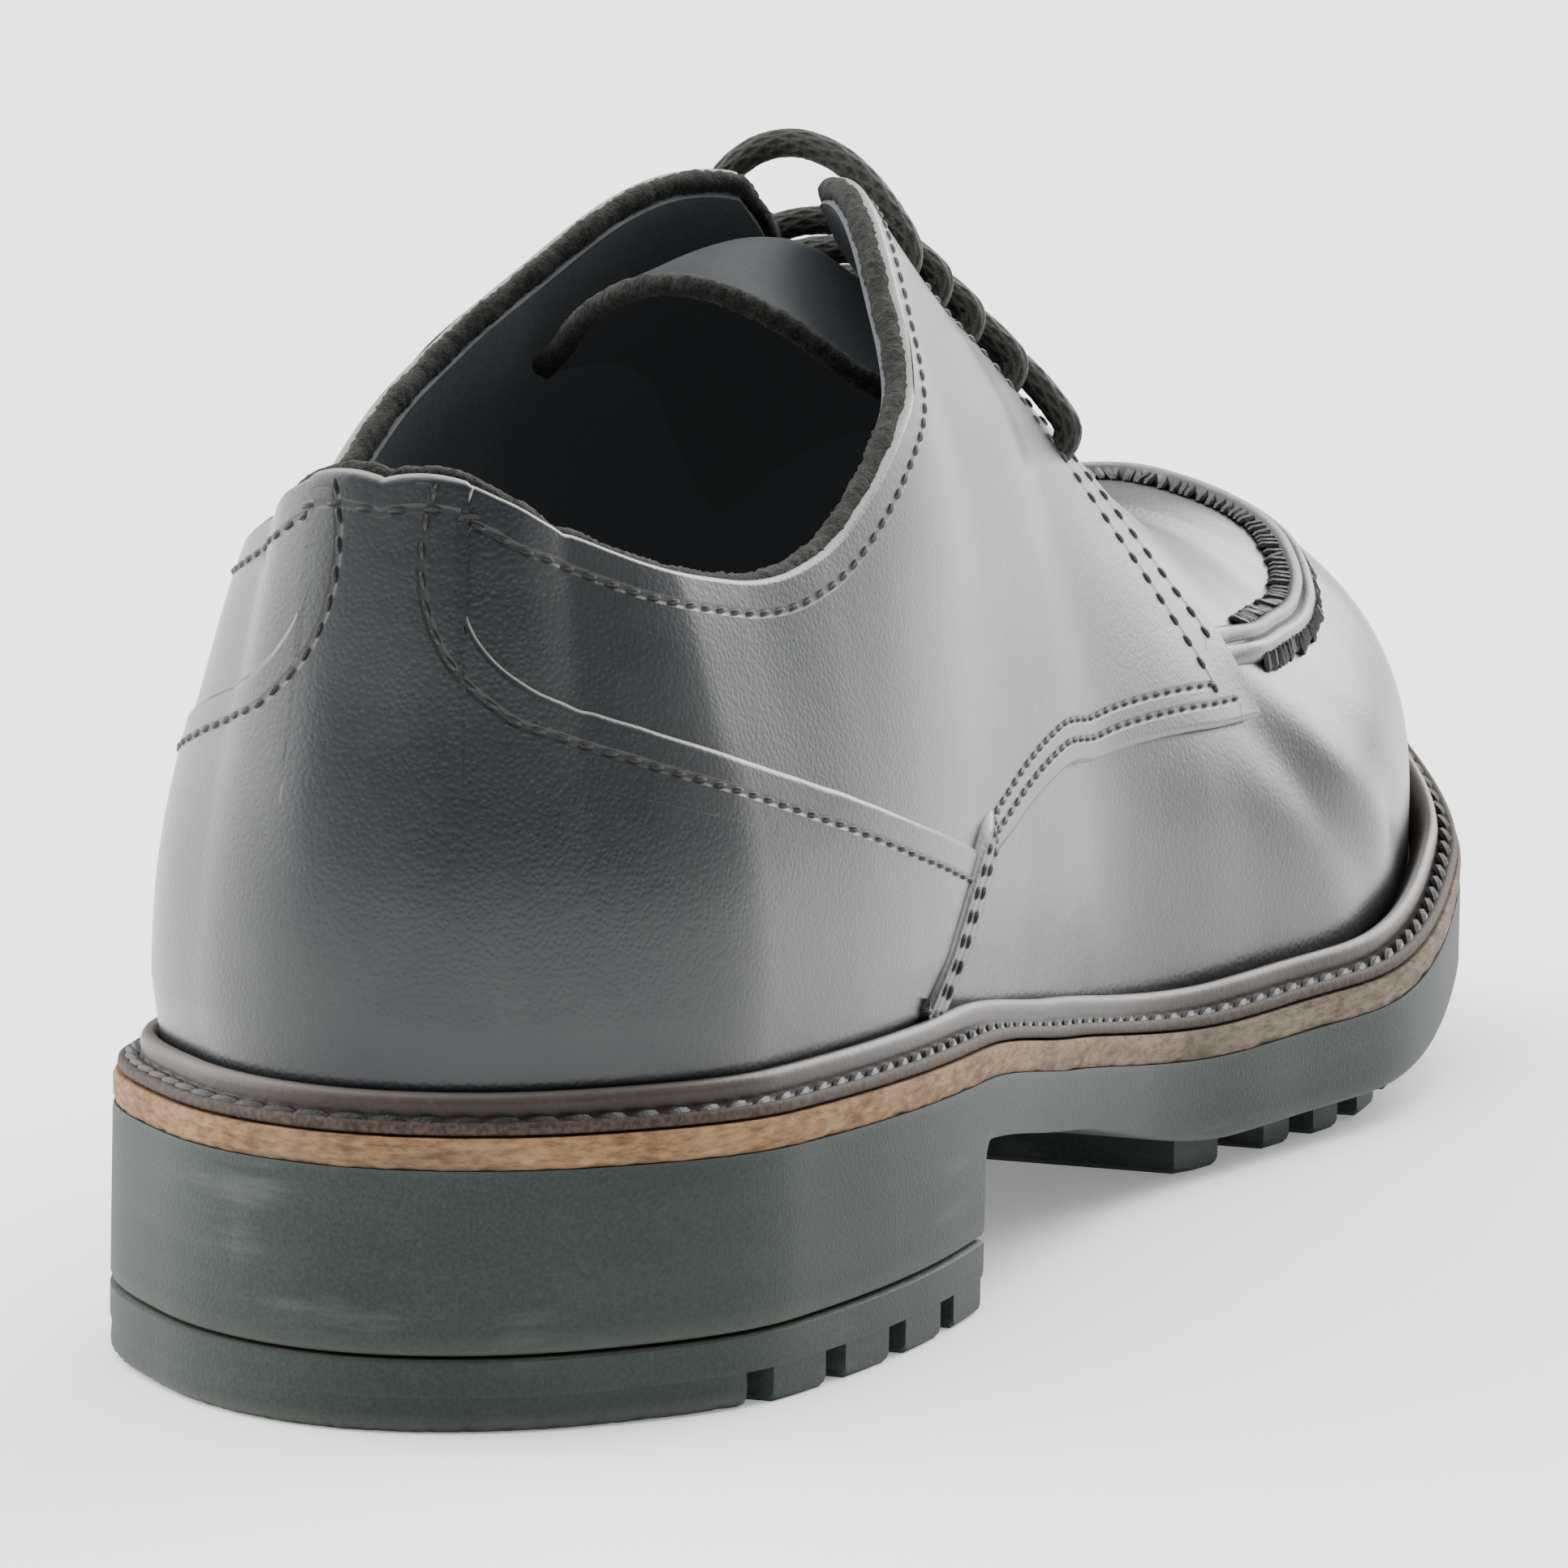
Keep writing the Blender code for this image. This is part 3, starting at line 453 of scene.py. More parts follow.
    def eased(self, path: Array, reach: int) -> Array:
        """The path with its small corners rounded and its ends kept.

        Args:
            path: Domain points.
            reach: How many points the rounding reaches to each side.

        Returns:
            As many domain points.
        """
        kernel = np.hanning(2 * reach + 3)[1:-1]
        kernel = kernel / np.sum(kernel)
        before = 2 * path[:1] - path[1 : reach + 1][::-1]
        after = 2 * path[-1:] - path[-reach - 1 : -1][::-1]
        padded = np.concatenate([before, path, after])
        lines = [np.convolve(padded[:, k], kernel, "valid") for k in range(path.shape[1])]
        return np.stack(lines, axis=-1)

    def beside(self, side: Side, path: Array, distance: Array) -> Array:
        """A domain path moved sideways over the surface.

        Args:
            side: Which side of the shoe.
            path: Domain points.
            distance: Metres to the left of the run, seen from outside.

        Returns:
            The moved domain points.
        """
        angle, rise = path[:, 0], path[:, 1]
        here = self.bare(side, angle, rise)
        run = np.gradient(here, axis=0)
        away = unit(np.cross(self.normal(side, angle, rise), run))
        away = away * np.asarray(distance)[..., None]
        step = self.step
        by_angle = self.bare(side, angle + step, rise) - self.bare(side, angle - step, rise)
        by_rise = self.bare(side, angle, rise + step) - self.bare(side, angle, rise - step)
        by_angle, by_rise = by_angle / (2 * step), by_rise / (2 * step)
        aa = np.sum(by_angle * by_angle, axis=-1)
        ar = np.sum(by_angle * by_rise, axis=-1)
        rr = np.sum(by_rise * by_rise, axis=-1)
        fa, fr = np.sum(away * by_angle, axis=-1), np.sum(away * by_rise, axis=-1)
        scale = aa * rr - ar * ar
        moved = [angle + (fa * rr - fr * ar) / scale, rise + (fr * aa - fa * ar) / scale]
        return np.stack(moved, axis=-1)

    def shift(self) -> Array:
        """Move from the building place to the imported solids' place.

        Returns:
            The three offsets.
        """
        angles = np.linspace(0.0, 1.0, 400)
        wide = [
            side.value * np.max(side.value * self.bare_edge(side, angles)[:, 1]) for side in Side
        ]
        return np.array([-self.sole_length / 2, -sum(wide) / 2, 0.0])


@dataclass(frozen=True)
class Seams:
    """Seams on the last, as rows of (along, rise)."""

    collar: tuple = (
        (0.0000, 0.385), (0.0097, 0.401), (0.0133, 0.403), (0.0172, 0.406), (0.0215, 0.411),
        (0.0262, 0.421), (0.0332, 0.443), (0.0422, 0.471), (0.0502, 0.476), (0.0577, 0.478),
        (0.0673, 0.481), (0.0765, 0.483), (0.0869, 0.484), (0.0988, 0.484), (0.1125, 0.478),
        (0.1238, 0.469), (0.1347, 0.460), (0.1457, 0.450), (0.1588, 0.439), (0.1701, 0.427),
        (0.1812, 0.416), (0.1924, 0.407), (0.2053, 0.400), (0.2167, 0.397), (0.2273, 0.394),
        (0.2373, 0.393), (0.2484, 0.392), (0.2579, 0.392), (0.2677, 0.392), (0.2770, 0.394),
        (0.2877, 0.397), (0.2977, 0.402), (0.3086, 0.409), (0.3205, 0.420), (0.3460, 0.478),
        (0.3700, 0.548), (0.4020, 0.655), (0.4360, 0.780), (0.4620, 0.885),
    )
    facing: tuple = (
        (0.4620, 0.885), (0.4860, 0.894), (0.5300, 0.852), (0.5700, 0.775), (0.6020, 0.665),
        (0.6280, 0.550), (0.6480, 0.445), (0.6560, 0.338),
    )
    slot_end: tuple = ((0.570, 0.775), (0.596, 0.850), (0.604, 1.000))
    vamp_foot: float = 0.268
    vamp_front: tuple = (
        (0.3340, 0.099), (0.3646, 0.128), (0.4004, 0.158), (0.4460, 0.189), (0.4983, 0.229),
        (0.5389, 0.264), (0.5718, 0.291), (0.6073, 0.312), (0.6464, 0.331), (0.6560, 0.338),
    )
    counter: tuple = (
        (0.0097, 0.401), (0.0081, 0.384), (0.0073, 0.370), (0.0069, 0.356), (0.0070, 0.343),
        (0.0075, 0.329), (0.0086, 0.318), (0.0102, 0.308), (0.0126, 0.301), (0.0163, 0.295),
        (0.0204, 0.293), (0.0252, 0.295), (0.0310, 0.304), (0.0395, 0.319), (0.0474, 0.324),
        (0.0549, 0.323), (0.0628, 0.323), (0.0724, 0.321), (0.0816, 0.319), (0.0918, 0.316),
        (0.1031, 0.311), (0.1172, 0.301), (0.1300, 0.290), (0.1426, 0.278), (0.1557, 0.266),
        (0.1708, 0.248), (0.1843, 0.232), (0.1984, 0.214), (0.2134, 0.198), (0.2322, 0.177),
        (0.2505, 0.157), (0.2715, 0.137), (0.2957, 0.118), (0.3340, 0.099),
    )
    eyelets: tuple = (
        (0.492, 0.765),
        (0.513, 0.755),
        (0.534, 0.735),
        (0.555, 0.695),
        (0.575, 0.625),
    )
    apron: tuple = (
        (0.651, 0.425), (0.664, 0.436), (0.681, 0.450), (0.719, 0.490), (0.798, 0.560),
        (0.865, 0.640), (0.925, 0.733), (0.970, 0.784), (1.000, 0.797),
    )


@dataclass(frozen=True)
class Crease:
    """A soft trough (negative depth) or ridge across the leather, in building metres."""

    start: tuple[float, float, float]
    end: tuple[float, float, float]
    width: float
    depth: float

    def lift(self, points: Array) -> Array:
        """How far the crease moves points outwards.

        Args:
            points: Points on the last.

        Returns:
            One distance for each point.
        """
        a, b = np.array(self.start), np.array(self.end)
        along = np.clip((points - a) @ (b - a) / np.sum((b - a) ** 2), 0.0, 1.0)
        away = np.linalg.norm(points - (a + along[..., None] * (b - a)), axis=-1)
        fade = np.sin(math.pi * np.clip(0.12 + 0.76 * along, 0.0, 1.0))
        return self.depth * fade * np.exp(-((away / self.width) ** 2))


def operator(operation: str, swapped: bool = False) -> Callable:
    """An operator method that adds a Math node.

    Args:
        operation: The node's operation.
        swapped: True for a reflected form, whose own value comes second.

    Returns:
        The method.
    """

    def method(self: "Ink", other: Value) -> "Ink":
        """Adds the node over both values."""
        values = [other, self] if swapped else [self, other]
        return self.nodes.node("ShaderNodeMath", {"operation": operation}, values)

    return method


class Ink:
    """A socket's value in an expression: operators add Math nodes."""

    __add__ = operator("ADD")
    __sub__ = operator("SUBTRACT")
    __mul__ = operator("MULTIPLY")
    __radd__ = operator("ADD", swapped=True)
    __rsub__ = operator("SUBTRACT", swapped=True)
    __rmul__ = operator("MULTIPLY", swapped=True)
    lesser = operator("MINIMUM")
    greater = operator("MAXIMUM")

    def __init__(self, nodes: "Nodes", socket: bpy.types.NodeSocket) -> None:
        """Wraps a socket of a node tree."""
        self.nodes = nodes
        self.socket = socket

    def size(self) -> "Ink":
        """Absolute value."""
        return self.nodes.node("ShaderNodeMath", {"operation": "ABSOLUTE"}, [self])

    def sine(self) -> "Ink":
        """Sine of the value in radians."""
        return self.nodes.node("ShaderNodeMath", {"operation": "SINE"}, [self])

    def between(self, low: float, high: float) -> "Ink":
        """Smooth rise of the value.

        Args:
            low: Where the rise is 0.
            high: Where it is 1.

        Returns:
            The rise.
        """
        settings = {"interpolation_type": "SMOOTHSTEP"}
        inputs = {"Value": self, "From Min": low, "From Max": high}
        return self.nodes.node("ShaderNodeMapRange", settings, inputs)


class Nodes:
    """A node tree, whose nodes all come from one method."""

    def __init__(self, tree: bpy.types.NodeTree) -> None:
        """Keeps the tree."""
        self.tree = tree

    def node(self, kind: str, settings: dict, inputs: object, out: object = 0) -> Ink:
        """Adds a node.

        Args:
            kind: The node's type.
            settings: Attributes that are set first.
            inputs: Values or links, by order or by socket name.
            out: The output to read, by order or by name.

        Returns:
            The output, for expressions.
        """
        made = self.tree.nodes.new(kind)
        for key, value in settings.items():
            setattr(made, key, value)
        pairs = inputs.items() if isinstance(inputs, dict) else enumerate(inputs)
        for key, value in pairs:
            if isinstance(value, Ink):
                self.tree.links.new(value.socket, made.inputs[key])
            else:
                made.inputs[key].default_value = value
        return Ink(self, made.outputs[out])


class Finish(Nodes):
    """A procedural material on one Principled shader."""

    def __init__(self, name: str, slot: str, roughness: float = 0.5) -> None:
        """Makes the material.

        Args:
            name: The material's name.
            slot: The record's material slot it belongs to.
            roughness: The shader's own roughness.
        """
        self.slot = slot
        self.material = bpy.data.materials.new(name)
        self.material.use_nodes = True
        super().__init__(self.material.node_tree)
        self.shader = self.tree.nodes["Principled BSDF"]
        self.fix("Roughness", roughness)

    def place(self, stretch: tuple[float, float, float] = (1.0, 1.0, 1.0)) -> Ink:
        """Object coordinates, scaled."""
        coords = self.node("ShaderNodeTexCoord", {}, {}, "Object")
        return self.node("ShaderNodeMapping", {}, {"Vector": coords, "Scale": stretch})

    def noise(
        self,
        scale: float,
        detail: float = 2.0,
        stretch: tuple[float, float, float] = (1.0, 1.0, 1.0),
        rough: float = 0.5,
    ) -> Ink:
        """Noise over the object.

        Args:
            scale: Features per metre.
            detail: How many finer octaves it has.
            stretch: Scale along each axis; less than one draws features out.
            rough: Weight of the finer octaves.

        Returns:
            The noise, 0 to 1.
        """
        inputs = {"Vector": self.place(stretch), "Scale": scale, "Detail": detail}
        return self.node("ShaderNodeTexNoise", {}, {**inputs, "Roughness": rough}, "Fac")

    def cells(self, scale: float) -> Ink:
        """Distance to the nearest cell's centre."""
        inputs = {"Vector": self.place(), "Scale": scale}
        return self.node("ShaderNodeTexVoronoi", {"feature": "F1"}, inputs, "Distance")

    def mark(self, name: str) -> Ink:
        """A named value that the mesh carries, in millimetres or as a share."""
        return self.node("ShaderNodeAttribute", {"attribute_name": name}, {}, "Fac")

    def mix(self, share: Value, one: Value, other: Value) -> Ink:
        """Mix of two colours.

        Args:
            share: How much of the other colour is in it.
            one: A colour or a link.
            other: A colour or a link.

        Returns:
            The mixed colour.
        """
        settings = {"data_type": "RGBA", "blend_type": "MIX"}
        made = self.node("ShaderNodeMix", settings, {"Factor": share}, 2)
        sockets = made.socket.node.inputs
        for socket, value in ((sockets[6], one), (sockets[7], other)):
            if isinstance(value, Ink):
                self.tree.links.new(value.socket, socket)
            else:
                socket.default_value = (*value, 1.0)
        return made

    def feed(self, socket: str, value: Ink) -> None:
        """Feeds a socket of the shader with what varies over the surface."""
        self.tree.links.new(value.socket, self.shader.inputs[socket])

    def fix(self, socket: str, value: float | Colour) -> None:
        """Sets a constant of the shader."""
        value = (*value, 1.0) if isinstance(value, tuple) else value
        self.shader.inputs[socket].default_value = value

    def bump(self, height: Ink, distance: float, strength: float = 1.0) -> None:
        """Bumps the shader's normal by a height in shares of distance."""
        settings = {"Strength": strength, "Distance": distance, "Height": height}
        self.feed("Normal", self.node("ShaderNodeBump", {}, settings, "Normal"))


@dataclass(frozen=True)
class Leather:
    """Waxed leather with a fine grain, stitched channels darkened with painted shade, pale cut
    edges and soft scuffs that are partly painted highlight, and darker towards the foot.
    """

    name: str
    slot: str
    deep: Colour = (0.006, 0.008, 0.011)
    high: Colour = (0.022, 0.025, 0.026)
    # Pale colour of the cut edges: partly their own colour, partly painted highlight.
    edge: Colour = (0.240, 0.245, 0.225)
    grain: float = 1500.0
    # Colour that the leather darkens to towards the foot.
    foot_dark_colour: Colour = (0.008, 0.010, 0.013)
    # Colour of the painted shade in the stitch channels.
    channel: Colour = (0.010, 0.011, 0.012)
    pore: Colour = (0.012, 0.014, 0.016)
    roughness: float = 0.33
    shine: float = 0.35
    coat: float = 0.30
    coat_roughness: float = 0.22

    def build(self) -> Finish:
        """Makes the finish.

        Returns:
            The finish.
        """
        f = Finish(self.name, self.slot, self.roughness)
        pores = f.cells(self.grain)
        fine = f.noise(self.grain * 1.6, 2.0)
        broad = f.noise(26.0, 3.0)
        streak = f.noise(120.0, 3.0, (0.35, 1.0, 1.0), 0.6)
        tone = (broad * 0.75 + streak * 0.35 - 0.1).between(0.25, 0.75)
        tone_colour = f.mix(tone, self.deep, self.high)
        near = f.mark("row_1").size()
        for k in range(2, ROWS + 1):
            near = near.lesser(f.mark(f"row_{k}").size())
        channel = 1.0 - near.between(0.15, 0.62)
        rim = f.mark("rim")
        # Pale rounded cut edges with soft scuffs: partly wear, partly painted highlight where the
        # edges catch light.
        wear_and_highlight = (rim * (0.75 + 0.5 * f.noise(700.0, 2.0))).between(0.35, 0.9)
        colour = f.mix(wear_and_highlight, tone_colour, self.edge)
        # The leather darkens towards the foot, in a band just above the welt.
        colour = f.mix(f.mark("burn") * 0.85, colour, self.foot_dark_colour)
        # Painted shade: the colour darkens in the stitch channels.
        colour = f.mix(channel * 0.8, colour, self.channel)
        pore_dark = pores.between(0.0, 0.35) * 0.35 + 0.65
        colour = f.mix(1.0 - pore_dark, colour, self.pore)
        f.feed("Base Color", colour)
        rough = self.roughness + 0.16 * (f.noise(60.0, 3.0) - 0.5) + 0.10 * (fine - 0.5)
        f.feed("Roughness", rough + 0.25 * wear_and_highlight + 0.18 * channel)
        f.feed("Coat Weight", (self.coat - 0.2 * wear_and_highlight).greater(0.0))
        f.fix("Coat Roughness", self.coat_roughness)
        height = pores.between(0.0, 0.75) * 0.5 + fine * 0.22 - channel * 3.2
        height = height + f.noise(320.0, 3.0) * 0.35
        f.fix("Specular IOR Level", self.shine)
        f.bump(height, 0.00012, 0.40)
        return f


@dataclass(frozen=True)
class Rubber:
    """Matt sanded rubber with a fine speckle."""

    name: str = "sanded_rubber"
    slot: str = "rubber"
    dark: Colour = (0.017, 0.025, 0.024)
    light: Colour = (0.038, 0.050, 0.045)
    dust: Colour = (0.118, 0.127, 0.121)
    wear_and_highlight: Colour = (0.124, 0.127, 0.102)
    shine: float = 0.22

    def build(self) -> Finish:
        """Makes the finish.

        Returns:
            The finish.
        """
        f = Finish(self.name, self.slot, 0.62)
        speck = f.noise(2200.0, 2.0)
        scratch = f.noise(210.0, 4.0, (0.10, 0.10, 1.0), 0.65)
        broad = f.noise(34.0, 3.0)
        tone = broad * 0.5 + scratch * 0.35 + (speck - 0.5) * 0.7
        colour = f.mix(tone.between(0.15, 0.80), self.dark, self.light)
        dust = (scratch * f.noise(58.0, 2.0)).between(0.30, 0.46)
        colour = f.mix(dust * 0.40, colour, self.dust)
        colour = f.mix(f.mark("rim") * 0.45, colour, self.wear_and_highlight)
        f.feed("Base Color", colour)
        f.feed("Roughness", 0.60 + 0.18 * (speck - 0.5) + 0.10 * dust)
        f.fix("Specular IOR Level", self.shine)
        f.bump(speck * 0.6 + scratch * 0.5, 0.00022, 0.6)
        return f


@dataclass(frozen=True)
class Board:
    """Fibrous leather board, tan at the heel and greyer at the forefoot."""

    name: str = "fibrous_board"
    slot: str = "leather_board"
    tan_dark: Colour = (0.104, 0.053, 0.024)
    tan_light: Colour = (0.320, 0.196, 0.102)
    grey_dark: Colour = (0.072, 0.053, 0.037)
    grey_light: Colour = (0.208, 0.168, 0.124)
    stain: Colour = (0.072, 0.068, 0.060)
    cut: Colour = (0.048, 0.040, 0.034)
    shine: float = 0.15

    def build(self) -> Finish:
        """Makes the finish.

        Returns:
            The finish.
        """
        f = Finish(self.name, self.slot, 0.78)
        fibre = f.noise(900.0, 4.0, (0.45, 0.45, 1.6), 0.65)
        clump = f.noise(260.0, 3.0, (0.5, 0.5, 1.2))
        tone = (fibre * 0.8 + clump * 0.35).between(0.32, 0.80)
        warm = f.mix(tone, self.tan_dark, self.tan_light)
        grey = f.mix(tone, self.grey_dark, self.grey_light)
        colour = f.mix(f.mark("forward").between(0.10, 0.62), warm, grey)
        stain = f.noise(48.0, 3.0).between(0.56, 0.72)
        colour = f.mix(stain * 0.45, colour, self.stain)
        colour = f.mix(f.mark("rim") * 0.55, colour, self.cut)
        f.feed("Base Color", colour)
        f.fix("Specular IOR Level", self.shine)
        f.bump(fibre * 0.9 + clump * 0.5, 0.00035, 0.9)
        return f


@dataclass(frozen=True)
class Welt:
    """Burnished brown welt leather with a pale top edge."""

    name: str = "burnished_welt"
    slot: str = "welt_leather"
    dark: Colour = (0.013, 0.008, 0.007)
    light: Colour = (0.039, 0.025, 0.021)
    crest: Colour = (0.127, 0.113, 0.102)
    ledge_dark: Colour = (0.017, 0.012, 0.009)
    ledge_light: Colour = (0.066, 0.047, 0.033)
    shine: float = 0.30

    def build(self) -> Finish:
        """Makes the finish.

        Returns:
            The finish.
        """
        f = Finish(self.name, self.slot, 0.36)
        broad = f.noise(60.0, 3.0)
        fine = f.noise(1500.0, 2.0)
        tone = (broad * 0.7 + fine * 0.4).between(0.3, 0.8)
        colour = f.mix(tone, self.dark, self.light)
        crest = f.mark("rim")
        colour = f.mix(crest * 0.55, colour, self.crest)
        ledge = f.mark("ledge")
        ledge_tone = f.mix(fine.between(0.3, 0.7), self.ledge_dark, self.ledge_light)
        colour = f.mix(ledge * 0.85, colour, ledge_tone)
        f.feed("Base Color", colour)
        f.feed("Roughness", 0.34 + 0.30 * ledge + 0.12 * fine)
        f.fix("Specular IOR Level", self.shine)
        f.bump(fine * 0.5 + broad * 0.3, 0.00018, 0.5)
        return f


@dataclass(frozen=True)
class Felt:
    """Raw fuzzy leather edge with light specks."""

    name: str = "raw_edge"
    slot: str = "lining"
    dark: Colour = (0.004, 0.004, 0.004)
    light: Colour = (0.035, 0.036, 0.030)
    shine: float = 0.15
    sheen: float = 0.08

    def build(self) -> Finish:
        """Makes the finish.

        Returns:
            The finish.
        """
        f = Finish(self.name, self.slot, 0.85)
        fibre = f.noise(2600.0, 3.0, rough=0.7)
        clump = f.noise(620.0, 3.0)
        tone = (fibre * 0.85 + clump * 0.55).between(0.52, 0.98)
        f.feed("Base Color", f.mix(tone, self.dark, self.light))
        f.fix("Specular IOR Level", self.shine)
        f.fix("Sheen Weight", self.sheen)
        f.bump(fibre * 0.8 + clump * 0.7, 0.0005, 0.9)
        return f


@dataclass(frozen=True)
class Lining:
    """Dark matt lining leather; a trace of own light stands for daylight inside the shoe."""

    name: str = "lining_leather"
    slot: str = "lining"
    deep: Colour = (0.058, 0.064, 0.072)
    high: Colour = (0.105, 0.113, 0.122)
    shine: float = 0.30
    own_light: float = 0.010
    own_colour: Colour = (0.85, 0.95, 1.0)

    def build(self) -> Finish:
        """Makes the finish.

        Returns:
            The finish.
        """
        f = Finish(self.name, self.slot, 0.72)
        fine = f.noise(1300.0, 2.0)
        broad = f.noise(30.0, 3.0)
        tone = (fine * 0.5 + broad * 0.6).between(0.3, 0.8)
        f.feed("Base Color", f.mix(tone, self.deep, self.high))
        f.fix("Specular IOR Level", self.shine)
        f.fix("Emission Color", self.own_colour)
        f.fix("Emission Strength", self.own_light)
        f.bump(fine, 0.00010, 0.5)
        return f


@dataclass(frozen=True)
class Braid:
    """Waxed braided cord, with its strands crossing along the run."""

    name: str = "waxed_braid"
    slot: str = "lace_cord"
    strands: float = 4.0
    pitch: float = 3.4
    dark: Colour = (0.004, 0.004, 0.004)
    light: Colour = (0.043, 0.042, 0.034)
    shine: float = 0.30

    def build(self) -> Finish:
        """Makes the finish.

        Returns:
            The finish.
        """
        f = Finish(self.name, self.slot, 0.62)
        turn = f.mark("turn") * (2.0 * math.pi)
        run = f.mark("run") * (2.0 * math.pi / self.pitch)
        one = (turn * self.strands + run).sine()
        other = (turn * self.strands - run).sine()
        weave = one.greater(other)
        fuzz = f.noise(2600.0, 3.0, rough=0.7)
        wear_and_highlight = f.noise(420.0, 2.0)
        tone = (weave * 0.22 + fuzz * 1.1 + wear_and_highlight * 0.5).between(0.45, 1.45)
        f.feed("Base Color", f.mix(tone, self.dark, self.light))
        f.fix("Specular IOR Level", self.shine)
        f.bump(weave * 0.45 + fuzz * 0.9, 0.00030, 0.8)
        return f


@dataclass(frozen=True)
class Thread:
    """Waxed thread."""

    name: str = "waxed_thread"
    slot: str = "lace_cord"
    dark: Colour = (0.003, 0.003, 0.003)
    light: Colour = (0.022, 0.022, 0.021)

    def build(self) -> Finish:
        """Makes the finish.

        Returns:
            The finish.
        """
        f = Finish(self.name, self.slot, 0.5)
        fuzz = f.noise(3000.0, 2.0)
        f.feed("Base Color", f.mix(fuzz.between(0.3, 0.8), self.dark, self.light))
        f.bump(fuzz, 0.00012, 0.7)
        return f


